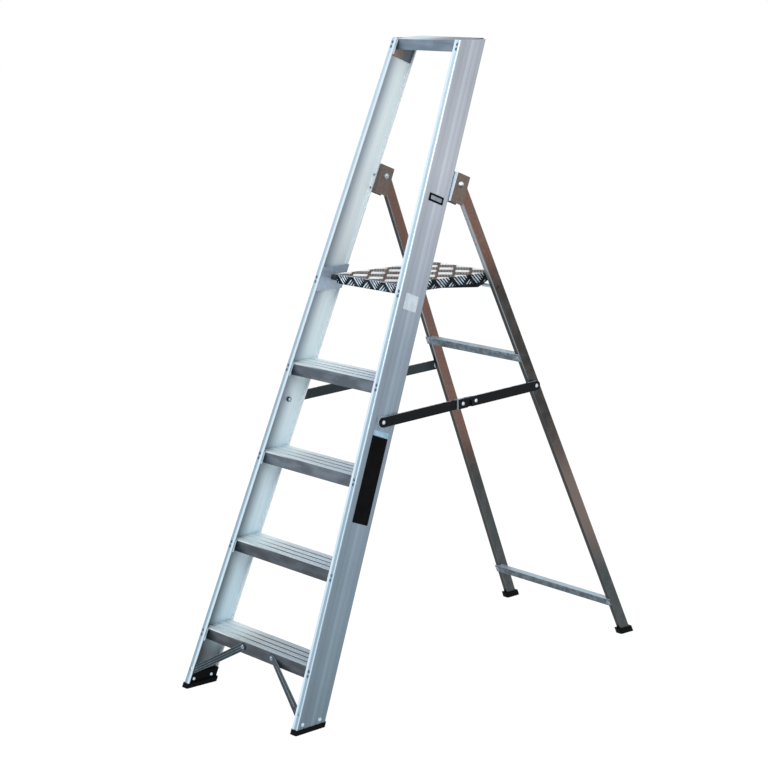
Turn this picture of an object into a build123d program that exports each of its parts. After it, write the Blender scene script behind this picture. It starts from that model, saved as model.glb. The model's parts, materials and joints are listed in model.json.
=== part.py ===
from build123d import *
import os
from math import atan, cos, degrees, hypot, radians, sin, tan

os.makedirs("parts", exist_ok=True)

# Platform step ladder, millimetres, Z up, the climber stands at minus Y
# The origin lies on the floor, midway between the front shoes and the rear feet

# Clearances
running_gap = 0.06      # radial, between a pivot and the hole that turns on it
side_gap = 0.3          # between faces of bodies that move past each other
seat_gap = 0.2          # between pieces of one body that are slipped together
hole_gap = 0.1          # radial, round a fixed rivet or bolt
layer_gap = 0.5         # between the two layers of a stay

# Stiles: channels open towards the middle, leaning back and drawing together upwards
lean = 21.0
foot_width = 500.0
head_width = 278.0
stile_top = 1770.0
stile_depth = 92.0
stile_flange = 22.0
rear_flange = 12.5      # the rear flange is the narrower one
stile_wall = 3.0
stile_corner = 4.0
flute_count = 4
flute_width = 9.0
flute_depth = 0.8
flute_first = 23.0
flute_pitch = 18.8
lane_width = 9.0        # shallow lane down the front flange where the rivets sit
lane_depth = 0.6
rivet_inset = 9.3

# Treads
tread_count = 4
first_tread = 164.5
tread_rise = 240.0
platform_rise = 242.5   # the platform above the top tread
tread_plate = 4.0
tread_lip = 35.5
tread_undercut = 2.0
tread_return = 9.0
tread_rib = 20.0
tread_nose = 2.0
tread_lift = 2.0        # a tread's rear edge above its front edge
groove_count = 3
groove_width = 5.0
groove_depth = 1.2
rail_drop = 3.0         # the hand rail's front edge below the stile tops
rail_lip = 30.0
rail_lift = 6.0         # the hand rail's rear edge above its front edge

# Brackets inside the channels
bracket_sheet = 3.0
bracket_show = 1.5
bracket_low = 1.0
tread_bracket_drop = 38.0
tread_bracket_low = 34.0    # level lower edge, below the tread's top
rail_bracket_drop = 42.0
gusset_depth = 62.0
shelf_width = 14.0
shelf_length = 38.0
platform_bracket_above = 18.0
platform_bracket_below = 47.0
bracket_tab = 17.0

# Rivets and bolts
rivet_radius = 2.4
rivet_head = 4.5
rivet_crown = 1.8
rivet_tail = 3.1
tail_height = 2.0
rivet_pitch = 13.0
rivet_drop = 13.5
rail_rivet_drop = 15.5
platform_rivet_drop = 16.0

# Front shoes
shoe_sole = 13.0
shoe_proud = 2.0
shoe_upstand = 38.0
shoe_core = 3.0         # free room between the upstand and the channel mouth
shoe_rivet_height = 24.0
shoe_rivet_front = 15.0
shoe_rivet_rear = 70.0
shoe_rivet_bite = 6.0
shoe_rivet_head = 5.5

# Straps that brace the lowest tread
strap_width = 21.0
strap_sheet = 3.0
strap_rib = 4.0
strap_reach = 13.0      # from the upper bolt to where the strap leaves the tread
strap_bolt_x = 63.0
strap_bolt_drop = 16.0
strap_foot_height = 52.0
strap_foot_length = 20.0
strap_tuck = 3.0        # the strap's end behind the inner edge of the flange
strap_bolt_radius = 3.0
strap_bolt_head = 6.5
strap_bolt_crown = 3.2
strap_bolt_tail = 4.6

# Hinge between the stiles and the rear legs
hinge_along = 1529.0
hinge_setback = 25.0
ear_sheet = 3.0
ear_above = 28.0
ear_below = 53.0
ear_behind = 26.0
ear_round = 2.5
pin_radius = 5.0
pin_head = 8.5
pin_crown = 6.5
bush_radius = 8.0
hinge_nut_radius = 8.0
hinge_nut_height = 6.0
hinge_rivet_drops = (6.0, 44.0)     # below the pin

# Rear legs
rear_lean = 24.1
leg_width = 16.0
leg_depth = 36.0
leg_wall = 2.0
leg_corner = 4.0
leg_head = 12.0         # leg above the hinge pin
leg_set = 5.5           # the leg's centre line behind the hinge pin
leg_in = 7.5            # leg centre at the hinge, in from the stile's outer face
leg_foot_in = 8.5       # leg centre at the floor, in from the stile's outer face
leg_lift = 5.0
foot_height = 17.0
foot_side = 4.0
foot_end = 7.0
foot_round = 5.0

# Braces between the rear legs
upper_brace_height = 895.0
lower_brace_height = 116.0
brace_face = 24.0
brace_sheet = 3.0
brace_return = 10.0     # flange turned back between the legs
brace_bolt_radius = 4.0
brace_bolt_head = 7.5
brace_bolt_crown = 4.0
brace_bolt_tail = 6.0

# Platform
deck_depth = 368.0
deck_sheet = 3.0
deck_side_room = 5.0    # between the tipped platform and the stile flanges
lip_height = 26.0
lip_inset = 11.0
flange_straight = 160.0 # the side flanges are as deep as the lip up to here
flange_rear_depth = 42.0
flange_short = 26.0     # the side flanges end this far ahead of the rear edge
rear_lip = 14.0
pivot_drop = 13.0
pivot_back = 13.0
pivot_radius = 5.0
pivot_head = 7.5
pivot_head_height = 5.0
pivot_nut_radius = 7.5
pivot_nut_height = 6.5
pivot_bush_radius = 8.0
rest_pin_drop = 34.0    # below the platform's top
rest_pin_radius = 5.0
rest_pin_under = 5.5    # past the inner face of the side flange

# Stays
stay_drop = 106.5       # below the top tread
stay_deep = 43.0
stay_leg_drop = 94.0    # below the upper brace
stay_width = 28.0
stay_bar = 4.0
stay_standoff = 1.5     # least room between a stay and the stile or leg that carries it
stay_bolt_radius = 4.0
stay_bolt_head = 5.6
stay_bolt_crown = 3.0
stay_nut_radius = 7.5
stay_nut_height = 6.0
stay_front_washer = 16.0
stay_rear_washer = 10.0
knuckle_end = 20.0
knuckle_stop = 38.0     # the front link runs on past the knuckle and stops the stay
knuckle_rivet = 4.0
knuckle_head = 5.5
knuckle_crown = 3.0
knuckle_second = 49.0
notch_back = 25.0
notch_width = 15.0
notch_height = 20.0

# Directions and places that follow from the sizes above
lean_sin = sin(radians(lean))
lean_cos = cos(radians(lean))
lean_tan = tan(radians(lean))
rear_sin = sin(radians(rear_lean))
rear_cos = cos(radians(rear_lean))
rear_tan = tan(radians(rear_lean))
taper = (foot_width - head_width) / 2 / stile_top
rise_length = hypot(1, taper * lean_cos)
rise = Vector(-taper * lean_cos, lean_sin, lean_cos).normalized()
back = Vector(0, lean_cos, -lean_sin)
out = back.cross(rise)

flute_radius = (flute_width ** 2 / 4 + flute_depth ** 2) / 2 / flute_depth
hinge_deep = stile_depth + hinge_setback
hinge_from_front = hinge_along * lean_sin + hinge_deep * lean_cos
hinge_z = hinge_along * lean_cos - hinge_deep * lean_sin
rear_reach = hinge_from_front + hinge_z * rear_tan + (leg_set + leg_depth / 2 + foot_end) / rear_cos
front_y = -(rear_reach - shoe_proud / lean_cos) / 2
hinge_y = front_y + hinge_from_front
stile_plane = Plane(origin=(foot_width / 2, front_y, 0), x_dir=out, z_dir=rise)


def stile_level(along):
    """Plane square to the right stile; local X outwards, Y rearwards."""
    return stile_plane.offset(along * rise_length)


def stile_point(along, deep, inset):
    """Point of the right stile: up it, behind its front face, in from its outer face."""
    return stile_plane.from_local_coords(Vector(-inset, deep, along * rise_length))


def along_at(height, deep):
    """Distance up the stile where this depth lies at this height."""
    return (height + deep * lean_sin) / lean_cos


def depth_y(height, deep):
    """Y of a plane at this depth behind the stile fronts, at this height."""
    return front_y + height * lean_tan + deep / lean_cos


def inset_x(inset, y, z):
    """X of a plane this far inside the right stile's outer face."""
    return foot_width / 2 - (inset + out.Y * (y - front_y) + out.Z * z) / out.X


def mirrored(planes):
    """The same planes on the left side."""
    return [
        Plane(
            origin=(-p.origin.X, p.origin.Y, p.origin.Z),
            x_dir=(-p.x_dir.X, p.x_dir.Y, p.x_dir.Z),
            z_dir=(-p.z_dir.X, p.z_dir.Y, p.z_dir.Z),
        )
        for p in planes
    ]


def on_both_sides(shape, planes):
    """One node with a copy of a fastener on each plane and on its mirror image."""
    with BuildPart() as group:
        with Locations(*planes, *mirrored(planes)):
            add(shape)
    return group


def drill(planes, radius, length):
    """Cut a hole along each plane's normal, in the part being built."""
    with Locations(*planes):
        Cylinder(radius, length, mode=Mode.SUBTRACT)


def rivet(radius, grip, head, crown, tail=0.0):
    """Dome head below the plane, shank up through the grip, closed tail above it."""
    with BuildPart() as fastener:
        with BuildSketch(Plane.XZ):
            with BuildLine():
                TangentArc((0, -crown), (head, 0), tangent=(1, 0))
                if tail > radius:
                    end = grip + tail_height
                    Polyline((head, 0), (radius, 0), (radius, grip), (tail, grip), (tail, end), (0, end))
                else:
                    end = grip
                    Polyline((head, 0), (radius, 0), (radius, grip), (0, grip))
                Line((0, end), (0, -crown))
            make_face()
        revolve(axis=Axis.Z)
    return fastener.part


def nut(bore, corner, height):
    """Hexagon nut with a bevelled outer face."""
    with BuildPart() as body:
        with BuildSketch(Plane.XY):
            RegularPolygon(corner, 6)
            Circle(bore, mode=Mode.SUBTRACT)
        extrude(amount=height)
        with BuildSketch(Plane.XY):
            Circle(corner)
        extrude(amount=height, taper=9, mode=Mode.INTERSECT)
    return body.part


def save(piece, node):
    """Label a finished piece and write it."""
    piece.part.label = node
    export_step(piece.part, f"parts/{node}.step")


def save_pair(piece, node):
    """Write a right-hand piece and its mirror image; node holds the side's place."""
    save(piece, node.format("right"))
    with BuildPart() as other:
        mirror(piece.part, about=Plane.YZ)
    save(other, node.format("left"))


# Heights that share the bracket pattern
tread_tops = [first_tread + tread_rise * i for i in range(tread_count)]
platform_top = tread_tops[-1] + platform_rise
rail_top = stile_top - rail_drop


def flange_rivets(top, drop):
    """Planes of the rivet pair that holds a bracket, this far down the flange from a top."""
    middle = along_at(top, 0) - drop
    spots = [stile_point(middle + s * rivet_pitch / 2, lane_depth, rivet_inset) for s in (-1, 1)]
    return [Plane(origin=spot, x_dir=out, z_dir=back) for spot in spots]


tread_rivet_planes = [p for top in tread_tops for p in flange_rivets(top, rivet_drop)]
rail_rivet_planes = flange_rivets(rail_top, rail_rivet_drop)
platform_rivet_planes = flange_rivets(platform_top, platform_rivet_drop)
strap_rivet_plane = Plane(
    origin=stile_point(along_at(strap_foot_height, 0), lane_depth, rivet_inset), x_dir=out, z_dir=back
)
shoe_rivet_planes = [
    Plane(origin=stile_point(along_at(shoe_rivet_height, deep), deep, 0), x_dir=back, z_dir=-out)
    for deep in (shoe_rivet_front, shoe_rivet_rear)
]

# Hinge places
hinge_point = Vector(inset_x(leg_in, hinge_y, hinge_z), hinge_y, hinge_z)
leg_foot_x = foot_width / 2 - leg_foot_in
leg_up = Vector(hinge_point.X - leg_foot_x, -hinge_z * rear_tan, hinge_z).normalized()
leg_rear = Vector(0, rear_cos, rear_sin)
leg_out = leg_rear.cross(leg_up)
leg_plane = Plane(origin=hinge_point + leg_rear * leg_set, x_dir=leg_out, z_dir=leg_up)
leg_splay = -leg_up.X
outer_room = leg_width / 2 + leg_splay * (ear_below + leg_set + leg_depth / 2) + side_gap
inner_room = leg_width / 2 + leg_splay * (leg_head + leg_depth / 2) + side_gap
ear_out = outer_room + ear_sheet
ear_in = inner_room + ear_sheet
hinge_plane = Plane(origin=hinge_point, x_dir=(1, 0, 0), z_dir=(0, lean_sin, lean_cos))


def hinge_rivet_plane(drop):
    """On the bracket's web behind the narrow flange, pointing forwards into it."""
    spot = hinge_plane.from_local_coords(Vector(0, bracket_sheet - hinge_setback, -drop))
    x = inset_x((rear_flange + stile_wall) / 2, spot.Y, spot.Z)
    return Plane(origin=(x, spot.Y, spot.Z), x_dir=(1, 0, 0), z_dir=-back)


hinge_rivet_planes = [hinge_rivet_plane(drop) for drop in hinge_rivet_drops]


def leg_level(height):
    """Distance down the leg, from the hinge, to its centre line at this height."""
    return (leg_plane.origin.Z - height) / leg_up.Z


def leg_point(height):
    """Point of the right leg's centre line at this height."""
    return leg_plane.from_local_coords(Vector(0, 0, -leg_level(height)))


def pin_line(height):
    """Point at this height on the line that runs down the right leg from the hinge pin."""
    return hinge_point + leg_up * ((height - hinge_z) / leg_up.Z)


# Stay places, all in the plane of the link they belong to
stay_front = stile_point(along_at(tread_tops[-1] - stay_drop, stay_deep), stay_deep, 0)
stay_rear = pin_line(upper_brace_height - stay_leg_drop)
leg_side_x = stay_rear.X + leg_width / 2 / leg_out.X
front_layer = max(stay_front.X, leg_side_x - stay_bar - layer_gap) + stay_standoff + side_gap
rear_layer = front_layer + stay_bar + layer_gap
link_run = Vector(0, stay_rear.Y - stay_front.Y, stay_rear.Z - stay_front.Z)
link_length = link_run.length / 2
link_dir = link_run.normalized()
knuckle = Vector(0, (stay_front.Y + stay_rear.Y) / 2, (stay_front.Z + stay_rear.Z) / 2)

# Platform places
pivot_z = platform_top - pivot_drop
pivot_y = depth_y(pivot_z, stile_depth / 2)
deck_front = pivot_y - pivot_back
deck_rear = deck_front + deck_depth
tipped_end = along_at(pivot_z, stile_depth / 2) + deck_depth - pivot_back
tipped = stile_point(tipped_end, stile_depth, stile_flange)
deck_half = min(tipped.X, hinge_point.X - ear_in - hinge_nut_height) - deck_side_room
pivot_plane = Plane(origin=(0, pivot_y, pivot_z), x_dir=(0, 1, 0), z_dir=(1, 0, 0))
rest_pin = pin_line(platform_top - rest_pin_drop)
rest_arc = hypot(rest_pin.Y - hinge_y, rest_pin.Z - hinge_z) - rest_pin_radius - side_gap

# Stiles
with BuildPart() as right_stile:
    with BuildSketch(stile_level(-stile_depth)):
        with Locations((-stile_flange / 2, stile_depth / 2)):
            Rectangle(stile_flange, stile_depth)
        with Locations((-(stile_flange + stile_wall) / 2, stile_depth / 2)):
            Rectangle(stile_flange - stile_wall, stile_depth - 2 * stile_wall, mode=Mode.SUBTRACT)
        with Locations((-rear_flange, stile_depth)):
            Rectangle(stile_flange, 2 * stile_wall, align=(Align.MAX, Align.CENTER), mode=Mode.SUBTRACT)
        fillet(vertices().group_by(Axis.X)[-1], stile_corner)
        flute_out = flute_radius - flute_depth
        with Locations(*[(flute_out, flute_first + flute_pitch * i) for i in range(flute_count)]):
            Circle(flute_radius, mode=Mode.SUBTRACT)
        with Locations((-rivet_inset, 0)):
            Rectangle(lane_width, 2 * lane_depth, mode=Mode.SUBTRACT)
    extrude(amount=(along_at(stile_top, stile_depth) + 2 * stile_depth) * rise_length)
    split(bisect_by=Plane.XY.offset(stile_top), keep=Keep.BOTTOM)
    split(bisect_by=Plane.XY.offset(shoe_sole), keep=Keep.TOP)
    drill(tread_rivet_planes, rivet_radius + hole_gap, 4 * stile_wall)
    drill(rail_rivet_planes, rivet_radius + hole_gap, 4 * stile_wall)
    drill(platform_rivet_planes, rivet_radius + hole_gap, 4 * stile_wall)
    drill([strap_rivet_plane], rivet_radius + hole_gap, 4 * stile_wall)
    drill(shoe_rivet_planes, rivet_radius + hole_gap, 4 * stile_wall)
    drill(hinge_rivet_planes, rivet_radius + hole_gap, 6 * stile_wall)
    drill([Plane(origin=stay_front, z_dir=(1, 0, 0))], stay_bolt_radius + hole_gap, 6 * stile_wall)
save_pair(right_stile, "{}_stile")


def tread_nose_y(top):
    """Front edge of a tread, just behind its bracket tabs."""
    return depth_y(top, stile_wall + bracket_sheet) + seat_gap


def tread_rear_y(top, lift):
    """Rear edge of a tread, just ahead of the rear flanges."""
    return depth_y(top + lift - tread_plate, stile_depth - stile_wall) - seat_gap


def tread_half(top, lift):
    """Half length of a tread, up to the gussets on the stile webs."""
    return inset_x(stile_wall + bracket_sheet, tread_rear_y(top, lift), top + lift) - seat_gap


def lip_y(top, drop):
    """Y of a tread's front face this far below its top."""
    return tread_nose_y(top) + tread_undercut * drop / tread_lip


def tread(top, lip, lift, grooves, bolt_planes):
    """Tread profile: plate that rises a little to the rear, front lip with a return, rear rib."""
    nose = tread_nose_y(top)
    rear = tread_rear_y(top, lift)
    rib = depth_y(top - tread_rib, stile_depth - stile_wall) - seat_gap
    foot = lip_y(top, lip)
    under = top - tread_plate
    low = top - lip
    slope = lift / (rear - nose)
    lip_drop = tread_plate * (1 - slope) / (1 + slope * tread_undercut / tread_lip)
    with BuildPart() as body:
        with BuildSketch(Plane.YZ):
            with BuildLine():
                Polyline(
                    (nose, top),
                    (rear, top + lift),
                    (rear, under + lift),
                    (rib, under + slope * (rib - nose)),
                    (rib, top - tread_rib),
                    (rib - tread_plate, top - tread_rib),
                    (rib - tread_plate, under + slope * (rib - tread_plate - nose)),
                    (lip_y(top, lip_drop) + tread_plate, top - lip_drop),
                    (lip_y(top, lip - tread_plate) + tread_plate, low + tread_plate),
                    (foot + tread_return, low + tread_plate),
                    (foot + tread_return, low),
                    (foot, low),
                    close=True,
                )
            make_face()
            fillet(vertices().sort_by(Axis.X)[0], tread_nose)
            pitch = (rear - nose) / (groove_count + 1)
            runs = [pitch * (i + 1) for i in range(groove_count)]
            tilt = degrees(atan(slope))
            if grooves:
                with Locations(*[(nose + run, top + slope * run) for run in runs]):
                    Rectangle(groove_width, 2 * groove_depth, rotation=tilt, mode=Mode.SUBTRACT)
        extrude(amount=tread_half(top, lift), both=True)
        if bolt_planes:
            drill(bolt_planes, strap_bolt_radius + hole_gap, 6 * tread_plate)
    return body


def corner_bracket(top, lift, drop, low, depth, rivets):
    """Tab behind the front flange, gusset on the web, shelf under the tread plate."""
    nose = tread_nose_y(top)
    slope = lift / (tread_rear_y(top, lift) - nose)
    shelf_front = tread_plate + tread_undercut
    shelf_in = tread_half(top, lift) - shelf_width
    shelf_out = inset_x(stile_wall + bracket_sheet / 2, nose + shelf_front + shelf_length, top)
    tab_width = stile_flange + bracket_show - stile_wall
    with BuildPart() as body:
        with BuildSketch(stile_level(along_at(top, 0) - drop)):
            with Locations((-stile_wall, stile_wall)):
                Rectangle(tab_width, bracket_sheet, align=(Align.MAX, Align.MIN))
                Rectangle(bracket_sheet, depth - stile_wall, align=(Align.MAX, Align.MIN))
        extrude(amount=(drop + depth) * rise_length)
        split(bisect_by=Plane.XY.offset(top - bracket_low), keep=Keep.BOTTOM)
        split(bisect_by=Plane.XY.offset(top - low), keep=Keep.TOP)
        with BuildSketch(Plane(origin=(0, nose, top - tread_plate), x_dir=(1, 0, 0), z_dir=(0, -slope, 1))):
            with Locations((shelf_in, shelf_front)):
                Rectangle(shelf_out - shelf_in, shelf_length, align=(Align.MIN, Align.MIN))
        extrude(amount=-bracket_sheet)
        drill(rivets, rivet_radius + hole_gap, 4 * stile_wall)
    return body


# Straps from the lowest tread to the stile feet, and their bolts
lip_length = hypot(tread_lip, tread_undercut)
lip_out = Vector(0, -tread_lip, -tread_undercut) / lip_length
strap_head = Vector(strap_bolt_x, lip_y(first_tread, strap_bolt_drop), first_tread - strap_bolt_drop)
strap_foot = stile_point(
    along_at(strap_foot_height, 0), stile_wall + strap_sheet / 2, stile_flange - strap_tuck
)
strap_run = strap_foot - strap_head
strap_run = (strap_run - lip_out * strap_run.dot(lip_out)).normalized()
strap_start = strap_head + lip_out * (strap_sheet / 2) + strap_run * strap_reach
strap_axis = (strap_foot - strap_start).normalized()
strap_head_plane = Plane(origin=strap_head, x_dir=strap_run, z_dir=lip_out)
strap_bolt_plane = Plane(origin=strap_head + lip_out * strap_sheet, x_dir=(1, 0, 0), z_dir=-lip_out)
strap_foot_plane = Plane(
    origin=stile_point(along_at(strap_foot_height, 0), stile_wall, stile_wall), x_dir=out, z_dir=back
)
strap_start_plane = Plane(origin=strap_start, x_dir=strap_axis.cross(lip_out), z_dir=strap_axis)
strap_end_plane = Plane(origin=strap_foot, x_dir=back.cross(strap_axis), z_dir=strap_axis)
lip_sheet = tread_plate * tread_lip / lip_length

with BuildPart() as tread_brace:
    with BuildSketch(strap_head_plane):
        with Locations((strap_reach / 2, 0)):
            SlotCenterToCenter(strap_reach, strap_width)
    extrude(amount=strap_sheet)
    with BuildSketch(strap_foot_plane):
        Rectangle(stile_flange - stile_wall, strap_foot_length, align=(Align.MAX, Align.CENTER))
    extrude(amount=strap_sheet)
    with BuildSketch(strap_start_plane):
        Rectangle(strap_width, strap_sheet)
    with BuildSketch(strap_end_plane):
        Rectangle(strap_foot_length, strap_sheet)
    loft()
    with BuildSketch(strap_start_plane.offset(strap_width)):
        Circle(strap_rib)
    with BuildSketch(strap_end_plane.offset(-strap_width)):
        Circle(strap_rib)
    loft()
    drill([strap_bolt_plane], strap_bolt_radius + hole_gap, 6 * strap_sheet)
    drill([strap_rivet_plane], rivet_radius + hole_gap, 6 * strap_sheet)
save_pair(tread_brace, "tread_brace_{}")

# Treads, the hand rail and their brackets
strap_bolt_planes = [strap_bolt_plane] + mirrored([strap_bolt_plane])
for i, top in enumerate(tread_tops):
    bolts = strap_bolt_planes if i == 0 else []
    rivets = flange_rivets(top, rivet_drop)
    bracket = corner_bracket(top, tread_lift, tread_bracket_drop, tread_bracket_low, gusset_depth, rivets)
    save(tread(top, tread_lip, tread_lift, True, bolts), f"tread_{i + 1}")
    save_pair(bracket, f"tread_bracket_{{}}_{i + 1}")
rail_gusset = stile_depth - stile_wall
rail_low = rail_bracket_drop + rail_gusset
rail_bracket = corner_bracket(
    rail_top, rail_lift, rail_bracket_drop, rail_low, rail_gusset, rail_rivet_planes
)
save(tread(rail_top, rail_lip, rail_lift, False, []), "top_rail")
save_pair(rail_bracket, "rail_bracket_{}")

flange_grip = stile_wall - lane_depth + bracket_sheet
flange_rivet = rivet(rivet_radius, flange_grip, rivet_head, rivet_crown, rivet_tail)
save(on_both_sides(flange_rivet, tread_rivet_planes), "tread_rivets")
save(on_both_sides(flange_rivet, rail_rivet_planes), "rail_rivets")
save(on_both_sides(flange_rivet, platform_rivet_planes), "platform_bracket_rivets")

strap_grip = strap_sheet + lip_sheet
strap_bolt = rivet(strap_bolt_radius, strap_grip, strap_bolt_head, strap_bolt_crown, strap_bolt_tail)
with BuildPart() as tread_brace_fasteners:
    with Locations(*strap_bolt_planes):
        add(strap_bolt)
    with Locations(strap_rivet_plane, *mirrored([strap_rivet_plane])):
        add(flange_rivet)
save(tread_brace_fasteners, "tread_brace_fasteners")

# Front shoes
with BuildPart() as front_shoe:
    with BuildSketch(stile_level(-stile_depth)):
        with Locations((-stile_flange / 2, stile_depth / 2)):
            RectangleRounded(stile_flange + 2 * shoe_proud, stile_depth + 2 * shoe_proud, stile_corner)
    extrude(amount=3 * stile_depth)
    split(bisect_by=Plane.XY.offset(shoe_sole), keep=Keep.BOTTOM)
    with BuildSketch(stile_level(0)):
        with Locations((-stile_wall, stile_depth / 2)):
            Rectangle(
                stile_flange - stile_wall - shoe_core,
                stile_depth - 2 * stile_wall,
                align=(Align.MAX, Align.CENTER),
            )
    extrude(amount=2 * stile_depth)
    split(bisect_by=Plane.XY.offset(shoe_upstand), keep=Keep.BOTTOM)
    split(bisect_by=Plane.XY, keep=Keep.TOP)
    drill(shoe_rivet_planes, rivet_radius + hole_gap, 2 * (stile_wall + shoe_rivet_bite))
save_pair(front_shoe, "front_shoe_{}")
shoe_rivet = rivet(rivet_radius, stile_wall + shoe_rivet_bite, shoe_rivet_head, rivet_crown)
save(on_both_sides(shoe_rivet, shoe_rivet_planes), "shoe_rivets")

# Platform brackets close the channel mouths and carry the pivots
with BuildPart() as platform_bracket:
    with BuildSketch(stile_level(along_at(platform_top, 0) - 2 * stile_depth)):
        with Locations((-stile_flange, stile_depth / 2)):
            Rectangle(bracket_tab, stile_depth - 2 * stile_wall, align=(Align.MIN, Align.CENTER))
        with Locations((bracket_sheet - stile_flange, stile_depth / 2)):
            Rectangle(
                bracket_tab,
                stile_depth - 2 * (stile_wall + bracket_sheet),
                align=(Align.MIN, Align.CENTER),
                mode=Mode.SUBTRACT,
            )
    extrude(amount=4 * stile_depth)
    split(bisect_by=Plane.XY.offset(platform_top + platform_bracket_above), keep=Keep.BOTTOM)
    split(bisect_by=Plane.XY.offset(platform_top - platform_bracket_below), keep=Keep.TOP)
    drill(platform_rivet_planes, rivet_radius + hole_gap, 4 * stile_wall)
    drill([pivot_plane], pivot_radius + hole_gap, 2 * foot_width)
save_pair(platform_bracket, "platform_bracket_{}")

# Platform pivots: bolt head in the channel, bush up to the platform, nut inside it
mouth_x = inset_x(stile_flange, pivot_y, pivot_z)
pivot_seat = inset_x(stile_flange - bracket_sheet, pivot_y, pivot_z) + pivot_head * taper
nut_seat = deck_half - deck_sheet - side_gap
pivot_length = pivot_seat - nut_seat + pivot_nut_height
with BuildPart() as pivot_bolt:
    with BuildSketch(pivot_plane.offset(pivot_seat)):
        Circle(pivot_radius)
    extrude(amount=-pivot_length)
    with BuildSketch(pivot_plane.offset(pivot_seat)):
        RegularPolygon(pivot_head, 6)
    extrude(amount=pivot_head_height)
with BuildPart() as platform_pivot_bolts:
    add(pivot_bolt.part)
    mirror(pivot_bolt.part, about=Plane.YZ)
save(platform_pivot_bolts, "platform_pivot_bolts")

with BuildPart() as pivot_bush:
    with BuildSketch(pivot_plane.offset(deck_half + side_gap)):
        Circle(pivot_bush_radius)
        Circle(pivot_radius + hole_gap / 2, mode=Mode.SUBTRACT)
    extrude(amount=2 * (mouth_x - deck_half))
    split(bisect_by=Plane(origin=(mouth_x, pivot_y, pivot_z), z_dir=out), keep=Keep.BOTTOM)
with BuildPart() as platform_bushes:
    add(pivot_bush.part)
    mirror(pivot_bush.part, about=Plane.YZ)
save(platform_bushes, "platform_bushes")

pivot_nut = nut(pivot_radius + hole_gap / 2, pivot_nut_radius, pivot_nut_height)
pivot_nut_plane = Plane(origin=(nut_seat, pivot_y, pivot_z), x_dir=(0, 1, 0), z_dir=(-1, 0, 0))
save(on_both_sides(pivot_nut, [pivot_nut_plane]), "platform_pivot_nuts")

# Platform: folded tray with a front lip, side flanges relieved round the rest pins, a rear lip
flange_rear = deck_rear - flange_short
with BuildSketch(Plane.YZ) as relief:
    with Locations((hinge_y, hinge_z)):
        Rectangle(deck_depth, 2 * hinge_z, align=(Align.MIN, Align.CENTER))
        Circle(rest_arc, mode=Mode.SUBTRACT)
with BuildPart() as platform_deck:
    with BuildSketch(Plane.YZ):
        with BuildLine():
            Polyline(
                (deck_front, platform_top),
                (flange_rear, platform_top),
                (flange_rear, platform_top - flange_rear_depth),
                (deck_front + flange_straight, platform_top - lip_height),
                (deck_front, platform_top - lip_height),
                close=True,
            )
        make_face()
        add(relief.sketch_local, mode=Mode.SUBTRACT)
        with Locations((pivot_y, pivot_z)):
            Circle(pivot_radius + running_gap, mode=Mode.SUBTRACT)
    extrude(amount=deck_half, both=True)
    with BuildSketch(Plane.XY.offset(platform_top - deck_sheet)):
        with Locations((0, deck_front + deck_sheet)):
            Rectangle(2 * (deck_half - deck_sheet), deck_depth, align=(Align.CENTER, Align.MIN))
    extrude(amount=-2 * flange_rear_depth, mode=Mode.SUBTRACT)
    with BuildSketch(Plane.XY.offset(platform_top)):
        with Locations((0, deck_front)):
            Rectangle(2 * deck_half, deck_depth, align=(Align.CENTER, Align.MIN))
    extrude(amount=-deck_sheet)
    with BuildSketch(Plane.XY.offset(platform_top)):
        with Locations((0, deck_rear)):
            Rectangle(2 * (deck_half - lip_inset), deck_sheet, align=(Align.CENTER, Align.MAX))
    extrude(amount=-rear_lip)
    with BuildSketch(Plane.XZ.offset(-deck_front)):
        for side in (-1, 1):
            with BuildLine():
                Polyline(
                    (side * deck_half, platform_top - deck_sheet),
                    (side * (deck_half - lip_inset), platform_top - lip_height),
                    (side * deck_half, platform_top - lip_height),
                    close=True,
                )
            make_face()
    extrude(amount=-deck_sheet, mode=Mode.SUBTRACT)
save(platform_deck, "platform_deck")

# Hinge brackets: a web on the stile's rear flange and two ears
ear_plane = Plane(hinge_point - Vector(ear_in, 0, 0), x_dir=back, z_dir=(1, 0, 0))
with BuildPart() as hinge_bracket:
    with BuildSketch(ear_plane):
        with Locations((-hinge_setback, -ear_below)):
            Rectangle(hinge_setback + ear_behind, ear_above + ear_below, align=(Align.MIN, Align.MIN))
        fillet(vertices().group_by(Axis.X)[-1], ear_round)
    extrude(amount=ear_in + ear_out)
    with BuildSketch(ear_plane.offset(ear_sheet)):
        with Locations((bracket_sheet - hinge_setback, -2 * ear_below)):
            Rectangle(2 * (hinge_setback + ear_behind), 4 * ear_below, align=(Align.MIN, Align.MIN))
    extrude(amount=inner_room + outer_room, mode=Mode.SUBTRACT)
    drill([Plane(origin=hinge_point, z_dir=(1, 0, 0))], pin_radius + hole_gap / 2, 4 * ear_out)
    drill(hinge_rivet_planes, rivet_radius + hole_gap, 4 * bracket_sheet)
save_pair(hinge_bracket, "hinge_bracket_{}")
hinge_rivet = rivet(rivet_radius, bracket_sheet + stile_wall, rivet_head, rivet_crown, rivet_tail)
save(on_both_sides(hinge_rivet, hinge_rivet_planes), "hinge_bracket_rivets")

pin_plane = Plane(origin=hinge_point + Vector(ear_out, 0, 0), x_dir=(0, 1, 0), z_dir=(-1, 0, 0))
hinge_pin = rivet(pin_radius, ear_in + ear_out + hinge_nut_height - 1, pin_head, pin_crown)
save(on_both_sides(hinge_pin, [pin_plane]), "hinge_pins")
hinge_nut = nut(pin_radius + hole_gap / 2, hinge_nut_radius, hinge_nut_height)
save(on_both_sides(hinge_nut, [pin_plane.offset(ear_in + ear_out)]), "hinge_nuts")

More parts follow.
